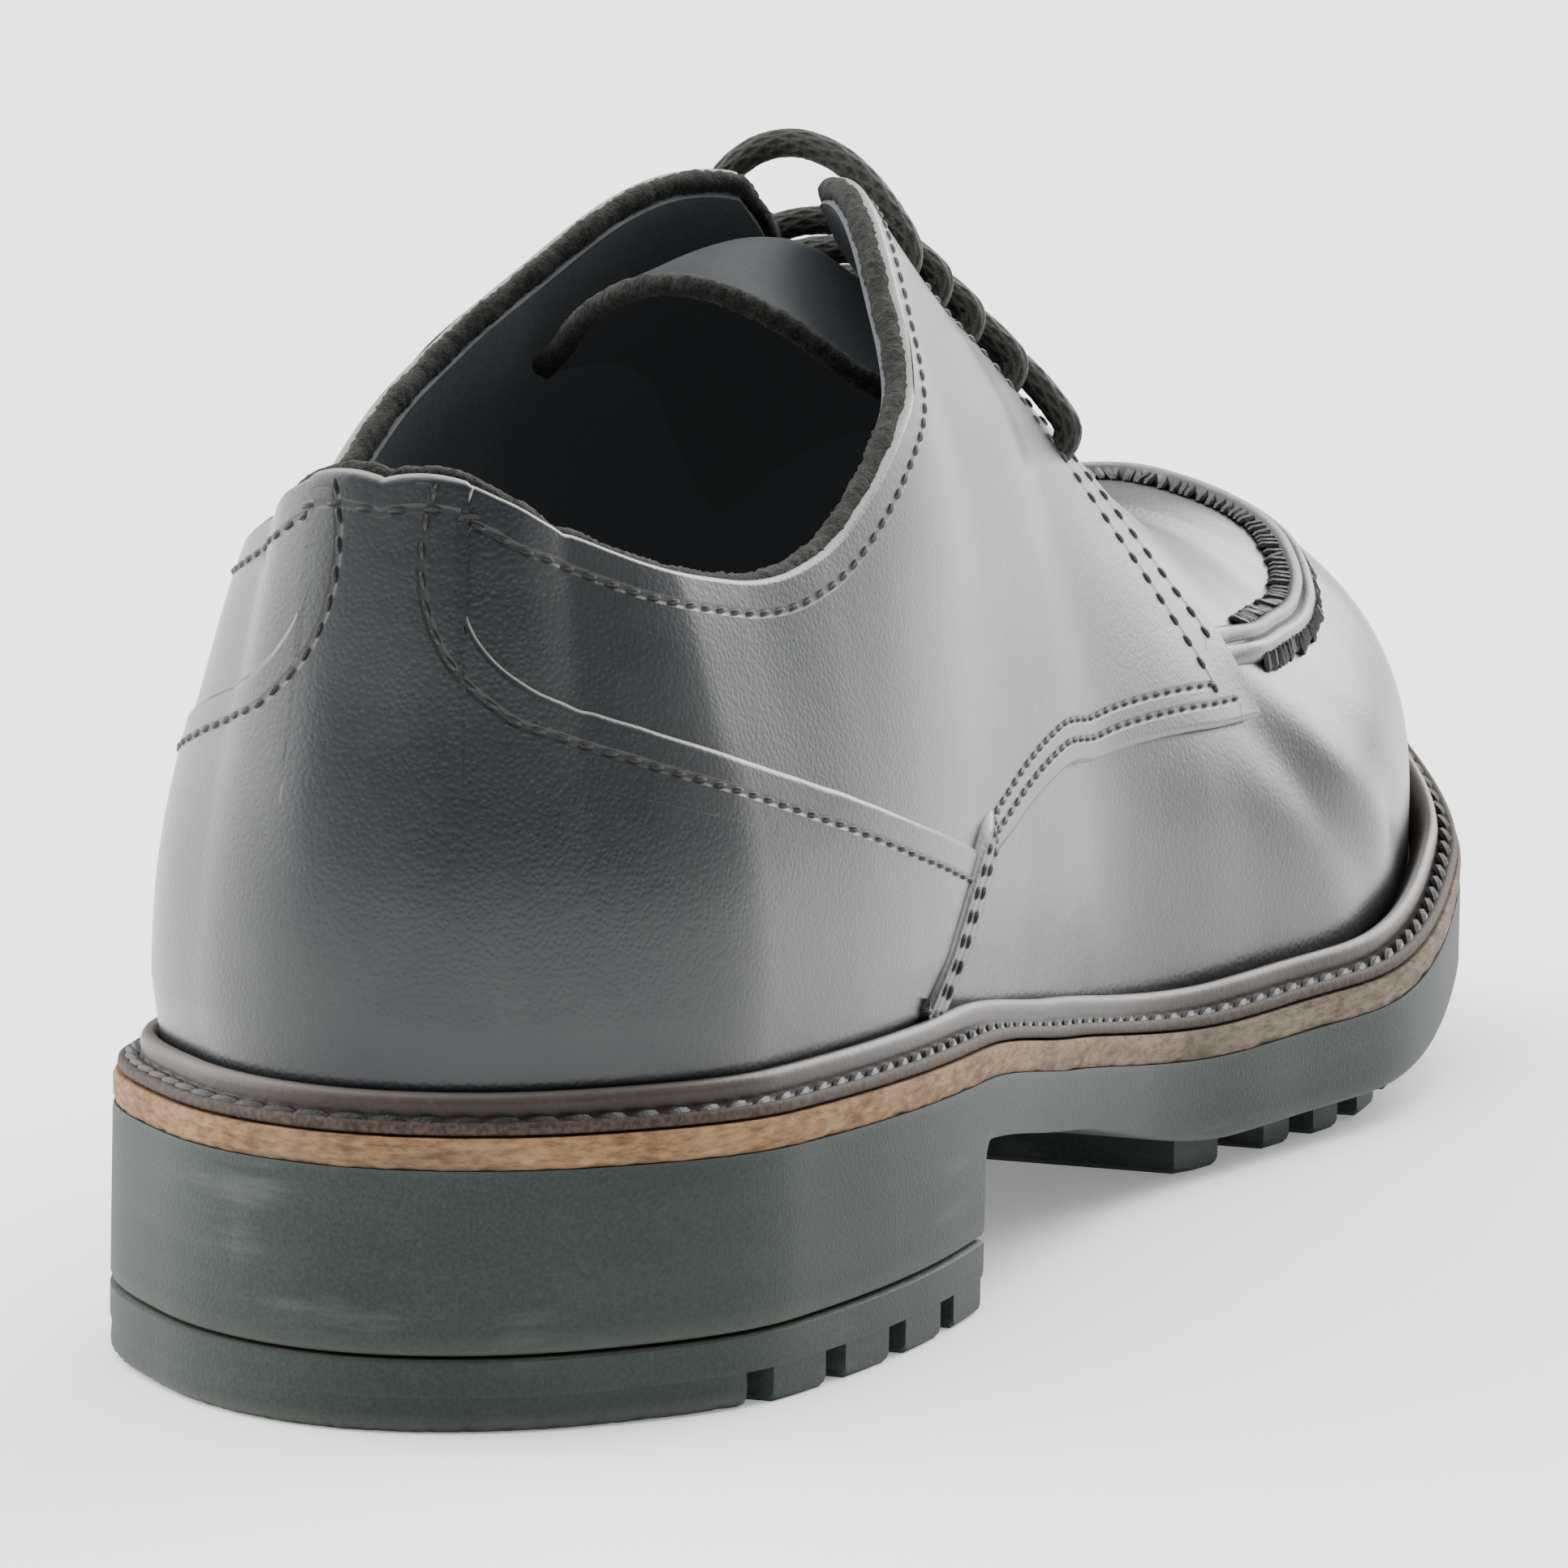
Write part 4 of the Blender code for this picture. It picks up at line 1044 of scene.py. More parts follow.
@dataclass
class Bench:
    """Makes the pieces: meshes, their marks and finishes, and the body they ride on."""

    last: Last
    merge: float = 0.00001
    first_up: tuple[float, float, float] = (0.12, 0.31, 0.94)
    edge_steps: int = 5

    def piece(
        self,
        name: str,
        points: Array,
        faces: list,
        finish: Finish,
        marks: dict[str, Array] | None = None,
        sharp: float = 50.0,
    ) -> bpy.types.Object:
        """Makes one visible piece.

        Args:
            name: The piece's name.
            points: Building points.
            faces: Lists of point numbers.
            finish: Its finish.
            marks: Named values for each point.
            sharp: Edges that bend more than this many degrees stay sharp.

        Returns:
            The piece.
        """
        mesh = bpy.data.meshes.new(name)
        mesh.from_pydata((points + self.last.shift()).tolist(), [], faces)
        for key, values in (marks or {}).items():
            layer = mesh.attributes.new(key, "FLOAT", "POINT")
            layer.data.foreach_set("value", np.asarray(values, np.float32).ravel())
        mesh.validate()
        obj = bpy.data.objects.new(name, mesh)
        bpy.context.scene.collection.objects.link(obj)
        self._face_out(obj)
        mesh.shade_smooth()
        mesh.set_sharp_from_angle(angle=math.radians(sharp))
        mesh.materials.append(finish.material)
        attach(obj, "root")
        LOG.info("%s: %d faces", name, len(mesh.polygons))
        return obj

    def _face_out(self, obj: bpy.types.Object) -> None:
        """Joins points that meet and makes the faces of a closed mesh point out.

        Args:
            obj: The piece.
        """
        bm = bmesh.new()
        bm.from_mesh(obj.data)
        bmesh.ops.remove_doubles(bm, verts=bm.verts, dist=self.merge)
        bmesh.ops.dissolve_degenerate(bm, dist=self.merge / 2, edges=bm.edges)
        bmesh.ops.recalc_face_normals(bm, faces=bm.faces)
        bm.to_mesh(obj.data)
        bm.free()

    def tube(
        self,
        path: Array,
        radius: Array,
        sides: int = 12,
        seed: int | None = None,
        rough: float = 0.0,
        up: Array | None = None,
    ) -> tuple[Array, list, dict[str, Array]]:
        """A round tube along a path.

        Args:
            path: Points of its centre line.
            radius: One radius, or one for each point.
            sides: Points round it.
            seed: Seed of its unevenness, if it has any.
            rough: How far the unevenness moves points.
            up: Directions of its first point round it.

        Returns:
            Points, faces and marks.
        """
        count = len(path)
        tangent = unit(np.gradient(path, axis=0))
        if up is None:
            guide = np.zeros_like(path)
            guide[0] = np.cross(tangent[0], self.first_up)
            for k in range(1, count):
                guide[k] = guide[k - 1] - tangent[k] * (guide[k - 1] @ tangent[k])
            up = unit(guide)
        up = unit(up - tangent * np.sum(up * tangent, axis=-1, keepdims=True))
        across = np.cross(tangent, up)
        turns = np.arange(sides) / sides
        wave = 2 * math.pi * turns
        size = np.broadcast_to(np.asarray(radius, float), (count,))[:, None, None]
        out = across[:, None, :] * np.cos(wave)[None, :, None]
        out = out + up[:, None, :] * np.sin(wave)[None, :, None]
        if seed is not None:
            size = size + np.random.default_rng(seed).normal(0.0, rough, (count, sides, 1))
        points = path[:, None, :] + out * size
        marks = {
            "run": np.repeat(distances(path) * 1000.0, sides),
            "turn": np.tile(np.abs(turns * 2 - 1), count),
        }
        return points.reshape(-1, 3), loft_faces(count, sides), marks

    def shell(self, outer: Array, inner: Array, bulge: float = 0.7) -> tuple[Array, list, Array]:
        """A closed sheet between two grids, with rounded edges all round.

        Args:
            outer: Outer points, by column and row.
            inner: Inner points, by column and row.
            bulge: How far the edges bulge, as a share of half the thickness.

        Returns:
            Points, faces, and each point's share on the rounded edge.
        """
        columns, rows = outer.shape[:2]
        order = [(k, 0) for k in range(columns)]
        order += [(columns - 1, j) for j in range(1, rows)]
        order += [(k, rows - 1) for k in range(columns - 2, -1, -1)]
        order += [(0, j) for j in range(rows - 2, 0, -1)]
        ks, js = np.array(order).T
        points = [outer.reshape(-1, 3), inner.reshape(-1, 3)]
        rim = [np.zeros(columns * rows), np.zeros(columns * rows)]
        out_ring = ks * rows + js
        in_ring = out_ring + columns * rows
        top, bottom = outer[ks, js], inner[ks, js]
        run = unit(np.roll(top, -1, axis=0) - np.roll(top, 1, axis=0))
        thick = top - bottom
        push = unit(np.cross(run, thick))
        near = outer[np.clip(ks, 1, columns - 2), np.clip(js, 1, rows - 2)]
        sign = np.sign(np.sum((top - near) * push, axis=-1))
        vote = np.where(sign == 0.0, 1.0, sign)
        push = push * (1.0 if np.sum(vote) >= 0 else -1.0)
        rings = [out_ring]
        base = 2 * columns * rows
        middle, half = (top + bottom) / 2, thick / 2
        reach = np.linalg.norm(half, axis=-1, keepdims=True) * bulge
        for step in range(1, self.edge_steps):
            turn = math.pi * step / self.edge_steps
            place = middle + half * math.cos(turn)
            points.append(place + push * (reach * math.sin(turn)))
            rim.append(np.full(len(order), math.sin(turn) ** 0.5))
            rings.append(base + np.arange(len(order)))
            base += len(order)
        rings.append(in_ring)
        faces = []
        for shift in (0, columns * rows):
            for k in range(columns - 1):
                for j in range(rows - 1):
                    a = shift + k * rows + j
                    faces.append((a, a + rows, a + rows + 1, a + 1))
        for one, other in zip(rings, rings[1:]):
            for k in range(len(order)):
                n = (k + 1) % len(order)
                faces.append((int(one[k]), int(one[n]), int(other[n]), int(other[k])))
        return np.concatenate(points), faces, np.concatenate(rim)


def signed_distance(points: Array, path: Array, normals: Array) -> Array:
    """Distance from points to a path over a surface, with a sign for its two sides.

    Args:
        points: Points near the surface.
        path: Close points of the path.
        normals: The surface's normals along the path.

    Returns:
        Millimetres, and FAR for points that aren't near.
    """
    tree = kdtree.KDTree(len(path))
    for k, place in enumerate(path):
        tree.insert(place, k)
    tree.balance()
    tangent = unit(np.gradient(path, axis=0))
    across = unit(np.cross(normals, tangent))
    found = np.array([tree.find(p)[1] for p in points])
    away = points - path[found]
    along = np.sum(away * tangent[found], axis=-1, keepdims=True)
    at_end = (found == 0) | (found == len(path) - 1)
    beyond = np.where(at_end, np.abs(along[:, 0]), 0.0)
    flat = np.sum(away * across[found], axis=-1)
    sign = np.where(flat < 0.0, -1.0, 1.0)
    past_end = beyond > END_SLACK
    distance = np.hypot(np.abs(flat), np.where(past_end, beyond, 0.0))
    sign = np.where(past_end, 1.0, sign)
    return np.where(np.linalg.norm(away, axis=-1) > NEAR, FAR, sign * distance / MM)


@dataclass
class Stitching:
    """Rows of thread: capsules that dip into the leather at both ends."""

    bench: Bench
    pitch: float = 0.0029
    length: float = 0.0023
    radius: float = 0.00030
    lift: float = 0.00010
    slant: float = 0.10
    dip: float = 0.00045
    taper: tuple[float, ...] = (0.35, 0.9, 1.0, 0.9, 0.35)
    sides: int = 6

    def row(self, path: Array, normals: Array) -> tuple[Array, list]:
        """Capsules along a path.

        Args:
            path: Points on the leather's surface.
            normals: The surface's normals there.

        Returns:
            Points and faces.
        """
        both = resample(np.concatenate([path, normals], axis=1), self.pitch)
        path, normals = both[:, :3], unit(both[:, 3:])
        tangent = unit(np.gradient(path, axis=0))
        across = np.cross(normals, tangent)
        rings = len(self.taper)
        thin = np.array(self.taper) * self.radius
        made = []
        for k in range(len(path)):
            line = []
            for share in np.linspace(-1.0, 1.0, rings):
                middle = (
                    path[k]
                    + tangent[k] * share * self.length / 2
                    + across[k] * share * self.slant * self.length / 2
                    + normals[k] * (self.lift - self.dip * abs(share) ** 3)
                )
                line.append(middle)
            up = np.broadcast_to(normals[k], (rings, 3))
            made.append(self.bench.tube(np.array(line), thin, self.sides, up=up)[:2])
        return joined(made)

    def piece(self, name: str, rows: list, finish: Finish) -> bpy.types.Object:
        """One piece of several rows, as pairs of points and faces."""
        return self.bench.piece(name, *joined(rows), finish)


@dataclass
class Upper:
    """Vamp, quarters, counter, lining, felted collar, apron seam and stitches."""

    bench: Bench
    seams: Seams
    wall: float = 0.0020
    lining: float = 0.0009
    layer_gap: float = 0.0005
    rest: float = 0.0001
    overlay: float = 0.0013
    counter_extra: float = 0.0005
    skive: float = 0.0003
    skive_height: float = 0.0100
    tuck: float = 0.0016
    roll: float = 0.00130
    roll_out: float = 0.0007
    roll_up: float = 0.0003
    roll_pitch: float = 0.0005
    guard: float = 0.0004
    columns: int = 230
    rows: int = 46
    vamp_rows_up: int = 60
    vamp_length: float = 0.09
    quarter_length: float = 0.06
    counter_length: float = 0.045
    leg_width: float = 0.0046
    leg_lap: float = 0.0002
    leg_end_lift: float = 0.0013
    leg_sink: float = 0.0003
    edge_row: float = 0.0030
    facing_second_row: float = 0.0085
    vamp_rows: tuple[float, float] = (-0.0020, -0.0042)
    leg_rows: tuple[float, float] = (0.0016, 0.0036)
    strap_row: float = 0.018
    # Height over the midsole where the darkening towards the foot starts to fade, and the height it
    # fades over.
    foot_dark_start: float = 0.0035
    foot_dark_fade: float = 0.0085
    apron_profile: tuple = (
        (-2.50, 0.10, 0.00), (-2.35, 0.70, 0.10), (-1.90, 1.35, 0.30), (-1.25, 1.85, 0.75),
        (-0.65, 1.80, 0.45), (-0.22, 1.35, 0.00), (0.00, 1.15, 0.00), (0.22, 1.35, 0.00),
        (0.65, 2.00, 0.75), (1.25, 2.10, 0.95), (1.90, 1.55, 0.40), (2.35, 0.80, 0.10),
        (2.50, 0.10, 0.00), (1.20, -0.20, 0.00), (-1.20, -0.20, 0.00),
    )
    hand_stitch: tuple = ((1.9, 1.25), (2.35, 0.85), (2.9, 0.50), (3.4, 0.25), (3.75, -0.1))
    creases: tuple[Crease, ...] = (
        Crease((0.086, -0.040, 0.078), (0.120, -0.043, 0.058), 0.0042, -0.0011),
        Crease((0.096, -0.039, 0.083), (0.134, -0.042, 0.062), 0.0040, 0.0008),
        Crease((0.106, -0.037, 0.087), (0.150, -0.040, 0.060), 0.0036, -0.0009),
        Crease((0.070, -0.040, 0.076), (0.088, -0.043, 0.056), 0.0040, -0.0006),
        Crease((0.086, 0.040, 0.078), (0.120, 0.043, 0.058), 0.0042, -0.0011),
        Crease((0.096, 0.039, 0.083), (0.134, 0.042, 0.062), 0.0040, 0.0008),
        Crease((0.106, 0.037, 0.087), (0.150, 0.040, 0.060), 0.0036, -0.0009),
        Crease((0.196, -0.036, 0.050), (0.222, -0.047, 0.026), 0.0046, -0.0009),
        Crease((0.205, -0.035, 0.050), (0.233, -0.046, 0.027), 0.0040, 0.0006),
        Crease((0.214, -0.033, 0.050), (0.243, -0.044, 0.028), 0.0040, -0.0007),
        Crease((0.198, 0.038, 0.050), (0.224, 0.049, 0.026), 0.0046, -0.0009),
        Crease((0.212, 0.036, 0.050), (0.240, 0.046, 0.028), 0.0040, -0.0006),
        Crease((0.150, -0.043, 0.038), (0.182, -0.043, 0.028), 0.0050, -0.0005),
    )

    def __post_init__(self) -> None:
        """Reads the seams' paths."""
        last = self.bench.last
        self.last = last
        self.collar = last.eased(last.trace(self.seams.collar, 300), 9)
        corner = float(last.angle_of(self.seams.collar[1][0]))
        cut = int(np.argmin(np.abs(self.collar[:, 0] - corner)))
        self.strap = self.collar[: cut + 1]
        self.collar_front = self.collar[cut:]
        self.facing = last.eased(last.trace(self.seams.facing, 96), 8)
        seam = last.eased(last.trace(self.seams.counter, 200), 4)
        fade = np.clip(1.0 - np.arange(len(seam)) / 20.0, 0.0, 1.0)[:, None]
        self.counter_seam = seam + (self.collar_front[0] - seam[0]) * fade
        self.front = last.eased(last.trace(self.seams.vamp_front, 110), 16)
        foot = float(last.angle_of(self.seams.vamp_foot))
        start = self.counter_seam[-1]
        share = np.linspace(0.0, 1.0, 40)[:, None]
        self.leg = np.array([[foot, 0.0]]) * (1 - share) + start[None, :] * share

    def surface(self, side: Side, domain: Array, offset: Array) -> Array:
        """Points over the last with the creases.

        Args:
            side: Which side of the shoe.
            domain: Domain points.
            offset: Distance from the last, outwards when positive.

        Returns:
            One point for each domain point.
        """
        angle, rise = domain[..., 0], domain[..., 1]
        bare = self.last.bare(side, angle, rise)
        lift = np.zeros(bare.shape[:-1])
        for crease in self.creases:
            lift = lift + crease.lift(bare)
        offset = np.broadcast_to(np.asarray(offset, float), lift.shape)
        normal = self.last.normal(side, angle, rise)
        return bare + normal * (offset + lift)[..., None]

    def thickness(self, side: Side, domain: Array, thick: float) -> Array:
        """An overlay's thickness, skived where the welt's ridge presses it.

        Args:
            side: Which side of the shoe.
            domain: Domain points.
            thick: The full thickness.

        Returns:
            One thickness for each domain point.
        """
        angle, rise = domain[..., 0], domain[..., 1]
        height = self.last.bare(side, angle, rise)[..., 2]
        height = height - self.last.bare(side, angle, np.zeros_like(rise))[..., 2]
        full = np.clip(height / self.skive_height, 0.0, 1.0)
        return self.skive + (thick - self.skive) * full

    def shares(self, rows: int, length: float) -> Array:
        """Row shares with guard rows close to both edges.

        Args:
            rows: Evenly spaced rows between the guards.
            length: About how long a column is.

        Returns:
            Shares from 0 to 1.
        """
        guard = self.guard / length
        middle = np.linspace(3 * guard, 1.0 - 3 * guard, rows)
        return np.concatenate([[0.0, guard], middle, [1.0 - guard, 1.0]])

    def ruled(self, low: Array, high: Array, rows: int, length: float) -> Array:
        """Domain grid between two seams.

        Args:
            low: Domain points of the lower seam.
            high: As many of the upper seam.
            rows: Evenly spaced rows.
            length: About how long a column is.

        Returns:
            Domain points by column and row.
        """
        t = self.shares(rows, length)
        return low[:, None, :] * (1 - t)[None, :, None] + high[:, None, :] * t[None, :, None]

    def row_path(self, side: Side, seam: Array, inset: float, offset: Array) -> tuple:
        """Where a row of stitches beside a seam lies.

        Args:
            side: Which side of the shoe.
            seam: Domain points.
            inset: How far below the seam, or behind it, the row runs.
            offset: The leather's height over the last.

        Returns:
            Points and normals.
        """
        path = self.last.beside(side, seam, np.full(len(seam), inset * side.value))
        path[:, 1] = np.maximum(path[:, 1], 0.0)
        return self.surface(side, path, offset), self.last.normal(side, path[:, 0], path[:, 1])

    def marks(self, points: Array, rim: Array, rows: list) -> dict[str, Array]:
        """Marks of a leather piece.

        Args:
            points: The piece's points.
            rim: Each point's share on the cut edge.
            rows: Points and normals of its rows of stitches.

        Returns:
            Its cut edge, its darkening towards the foot and its distance from each row.
        """
        foot = self.last.midsole_top(points[:, 0]) + self.foot_dark_start
        burn = 1.0 - smooth_step((points[:, 2] - foot) / self.foot_dark_fade)
        found = {"rim": rim, "burn": burn}
        for k in range(ROWS):
            far = np.full(len(points), FAR)
            found[f"row_{k + 1}"] = signed_distance(points, *rows[k]) if k < len(rows) else far
        return found

    def rim_path(self) -> Array:
        """Domain path of the upper's top edge.

        Returns:
            Domain points from the heel to the toe.
        """
        collar = self.collar[:-1:2]
        side = self.last.trace(self.seams.facing[:4], 36)[:-1]
        slot = self.last.trace(self.seams.slot_end, 16)[:-1]
        start = float(self.last.angle_of(self.seams.slot_end[-1][0]))
        ridge = np.linspace(start, 1.0, 90)
        ridge = np.stack([ridge, np.ones_like(ridge)], axis=-1)
        return np.concatenate([collar, side, slot, ridge])

    def whole(self, domain: Array, offsets: tuple[float, float]) -> tuple[Array, list]:
        """A closed wall right round the shoe.

        Args:
            domain: Domain points of one side, by column and row.
            offsets: Where its two faces lie from the last.

        Returns:
            Points and faces.
        """
        grids = []
        for offset in offsets:
            inner = self.surface(Side.INNER, domain, offset)
            outer = self.surface(Side.OUTER, domain, offset)
            grids.append(np.concatenate([inner, outer[::-1][1:-1]]))
        columns, rows = grids[0].shape[:2]
        count = columns * rows
        open_top = np.concatenate([domain[:, -1, 1], domain[::-1][1:-1, -1, 1]]) < RIDGE
        faces = []
        for shift in (0, count):
            for k in range(columns):
                n = (k + 1) % columns
                for j in range(rows - 1):
                    a, b = shift + k * rows + j, shift + n * rows + j
                    faces.append((a, b, b + 1, a + 1))
        for k in range(columns):
            n = (k + 1) % columns
            a, b = k * rows, n * rows
            faces.append((a, b, b + count, a + count))
            if open_top[k] or open_top[n]:
                a, b = k * rows + rows - 1, n * rows + rows - 1
                faces.append((a, b, b + count, a + count))
        return np.concatenate([g.reshape(-1, 3) for g in grids]), faces

    def overlay_grids(self, side: Side, domain: Array, thick: Array) -> tuple[Array, Array]:
        """Outer and inner points of a panel that lies on the vamp."""
        outer = self.surface(side, domain, self.layer_gap + thick)
        return outer, self.surface(side, domain, self.rest)

    def sew(self, name: str, rows: list, thread: Finish) -> None:
        """Makes the stitches of a panel's rows, given as points and normals."""
        stitching = Stitching(self.bench)
        stitching.piece(name, [stitching.row(*row) for row in rows], thread)

    def vamp(self, leather: Finish, lining: Finish) -> None:
        """The vamp's outer leather and the lining inside it.

        Args:
            leather: The vamp's finish.
            lining: The lining's finish.
        """
        rim = self.rim_path()
        low = np.stack([rim[:, 0], np.zeros(len(rim))], axis=-1)
        domain = self.ruled(low, rim, self.vamp_rows_up, self.vamp_length)
        points, faces = self.whole(domain, (0.0, -self.wall + self.lining))
        marks = self.marks(points, np.zeros(len(points)), [])
        vamp = self.bench.piece("vamp_leather", points, faces, leather, marks)
        points, faces = self.whole(domain, (-self.wall + self.lining, -self.wall))
        marks = {"rim": np.zeros(len(points))}
        self.bench.piece("lining_leather", points, faces, lining, marks)
        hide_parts("upper")

    def quarter(self, side: Side, leather: Finish, thread: Finish) -> None:
        """A quarter with its facing and its stitches.

        Args:
            side: Which side of the shoe.
            leather: The quarter's finish.
            thread: The stitches' finish.
        """
        tag = side.name.lower()
        tuck = np.full(len(self.counter_seam), self.tuck * side.value)
        seam = self.last.beside(side, self.counter_seam, tuck)
        seam[0] = self.counter_seam[0]
        low = respaced(np.concatenate([seam[:-3], self.front[3:]]), self.columns)
        high = respaced(np.concatenate([self.collar_front, self.facing[1:]]), self.columns)
        domain = self.ruled(low, high, self.rows, self.quarter_length)
        grids = self.overlay_grids(side, domain, self.thickness(side, domain, self.overlay))
        points, faces, rim = self.bench.shell(*grids)
        top = self.layer_gap + self.overlay
        rows = [
            self.row_path(side, seam, inset, top)
            for seam, inset in (
                (self.collar_front[8:-10], self.edge_row),
                (self.facing[6:-16], self.edge_row),
                (self.facing[8:-10], self.facing_second_row),
                (self.front[4:-6], self.vamp_rows[0]),
                (self.front[4:-12], self.vamp_rows[1]),
            )
        ]
        marks = self.marks(points, rim, rows)
        piece = self.bench.piece(f"quarter_leather_{tag}", points, faces, leather, marks)
        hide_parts(f"quarter_{tag}")
        self.sew(f"quarter_stitches_{tag}", rows, thread)

    def leg_piece(self, side: Side, leather: Finish, thread: Finish) -> None:
        """The quarter's narrow leg, which covers the counter's front end down to the welt.

        Args:
            side: Which side of the shoe.
            leather: The quarter's finish.
            thread: The stitches' finish.
        """
        tag = side.name.lower()
        path = np.concatenate([self.leg, self.front[1:10]])
        edges = []
        for inset in (-self.leg_width, self.leg_lap):
            line = self.last.beside(side, path, np.full(len(path), inset * side.value))
            line[:, 1] = np.maximum(line[:, 1], 0.0)
            edges.append(line)
        domain = self.ruled(*edges, 8, self.leg_width)
        raise_by = np.linspace(1.0, 0.0, len(path))[:, None]
        extra = self.leg_end_lift * smooth_step(raise_by * 5.0) - self.leg_sink
        thick = self.thickness(side, domain, self.overlay) + extra
        points, faces, rim = self.bench.shell(*self.overlay_grids(side, domain, thick))
        top = self.layer_gap + thick[:, 4]
        rows = [self.row_path(side, path, -inset, top) for inset in self.leg_rows]
        marks = self.marks(points, rim, rows)
        self.bench.piece(f"quarter_leg_{tag}", points, faces, leather, marks)
        self.sew(f"leg_stitches_{tag}", rows, thread)

    def counter(self, leather: Finish, thread: Finish) -> None:
        """The heel counter with its strap, and its stitches.

        Args:
            leather: The counter's finish.
            thread: The stitches' finish.
        """
        strap, seam = self.strap[:-1], self.counter_seam
        ends = [float(seam[0, 0]), float(self.last.angle_of(self.seams.vamp_foot))]
        foot = np.concatenate([strap[:, 0], np.linspace(*ends, len(seam))])
        low = np.stack([foot, np.zeros(len(foot))], axis=-1)
        high = np.concatenate([strap, seam])
        domain = self.ruled(low, high, self.rows, self.counter_length)
        full = self.overlay + self.counter_extra
        halves = [
            self.overlay_grids(side, domain, self.thickness(side, domain, full)) for side in Side
        ]
        grids = [np.concatenate([one[::-1], other[1:]]) for one, other in zip(*halves)]
        points, faces, rim = self.bench.shell(*grids)
        top = self.layer_gap + full
        rows = [self.row_path(side, seam[2:-6], self.edge_row, top) for side in Side]
        path = np.stack([self.strap[:, 0], self.strap[:, 1] - self.strap_row], axis=-1)
        crown = [
            (self.surface(side, path, top), self.last.normal(side, path[:, 0], path[:, 1]))
            for side in Side
        ]
        across = [np.concatenate([one[::-1], other[1:]]) for one, other in zip(*crown)]
        rows.append(tuple(across))
        marks = self.marks(points, rim, rows)
        piece = self.bench.piece("counter_leather", points, faces, leather, marks)
        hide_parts("counter")
        self.sew("counter_stitches", rows, thread)

    def collar_roll(self, felt: Finish) -> None:
        """The raw fuzzy edge round the collar and down the facings.

        Args:
            felt: Its finish.
        """
        facing = self.last.trace(self.seams.facing[:4], 110)[1:]
        line = np.concatenate([self.collar, facing])
        offset = self.roll_out - self.wall / 2
        runs = [self.last.point(side, line[:, 0], line[:, 1], offset) for side in Side]
        path = resample(np.concatenate([runs[0][::-1], runs[1][1:]]), self.roll_pitch)
        path[:, 2] += self.roll_up
        size = self.roll * (1.0 + 0.06 * np.sin(np.arange(len(path)) * 0.37))
        points, faces, marks = self.bench.tube(path, size, 14, seed=3, rough=0.00009)
        self.bench.piece("collar_edge", points, faces, felt, marks, sharp=180.0)

    def apron(self, leather: Finish, thread: Finish) -> None:
        """The raised double ridge round the apron, with its hand stitches.

        Args:
            leather: The vamp's finish.
            thread: The stitches' finish.
        """
        path = self.last.trace(self.seams.apron, 150)
        both = [self.last.point(side, path[:, 0], path[:, 1], 0.0) for side in Side]
        normals = [self.last.normal(side, path[:, 0], path[:, 1]) for side in Side]
        centre = np.concatenate([both[0], both[1][::-1][1:]])
        normal = np.concatenate([normals[0], normals[1][::-1][1:]])
        across = unit(np.cross(normal, unit(np.gradient(centre, axis=0))))
        ends = np.minimum(np.arange(len(centre)), np.arange(len(centre))[::-1])
        low = (0.30 + 0.70 * smooth_step(ends / 9.0))[:, None]
        rings = [
            centre + across * sideways * MM + normal * up * low * MM
            for sideways, up, _ in self.apron_profile
        ]
        grid = np.stack(rings, axis=1)
        count, sides = grid.shape[:2]
        points = grid.reshape(-1, 3)
        marks = {
            "rim": np.tile([rim for _, _, rim in self.apron_profile], count),
            "burn": np.zeros(len(points)),
        }
        for k in range(ROWS):
            marks[f"row_{k + 1}"] = np.full(len(points), FAR)
        # The groove between the ridge's two rolls carries the stitch-channel mark, so it gets the
        # painted shade too.
        groove = np.full(sides, FAR)
        groove[5:8] = (-0.4, 0.0, 0.4)
        marks["row_1"] = np.tile(groove, count)
        faces = loft_faces(count, sides)
        piece = self.bench.piece("apron_ridge", points, faces, leather, marks, sharp=70.0)
        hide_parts("apron_seam")
        stitching = Stitching(self.bench, radius=0.00052)
        inside = slice(10, -10)
        made = [
            self.cross_stitches(centre[inside], normal[inside], across[inside] * sign, stitching)
            for sign in (-1.0, 1.0)
        ]
        stitching.piece("apron_stitches", made, thread)

    def cross_stitches(
        self, centre: Array, normal: Array, away: Array, stitching: Stitching
    ) -> tuple[Array, list]:
        """Short thick stitches that run from the ridge's side onto the leather.

        Args:
            centre: Points along the ridge.
            normal: The leather's normals there.
            away: Directions to the side that the stitches lie on.
            stitching: Whose thread they are made of.

        Returns:
            Points and faces.
        """
        line = resample(np.concatenate([centre, normal, away], axis=1), 0.0014)
        chance = np.random.default_rng(17)
        thin = np.array([0.6, 1.0, 1.0, 1.0, 0.6]) * stitching.radius
        made = []
        for k in range(len(line)):
            base, up, out = line[k, :3], unit(line[k, 3:6]), unit(line[k, 6:])
            base = base + np.cross(up, out) * chance.normal(0.0, 0.00018)
            lean = np.cross(up, out) * chance.normal(0.00035, 0.00020)
            long = 1.0 + chance.normal(0.0, 0.05)
            route = [
                base + out * a * long * MM + up * b * MM + lean * (a - 2.6)
                for a, b in self.hand_stitch
            ]
            made.append(self.bench.tube(np.array(route), thin, stitching.sides)[:2])
        return joined(made)


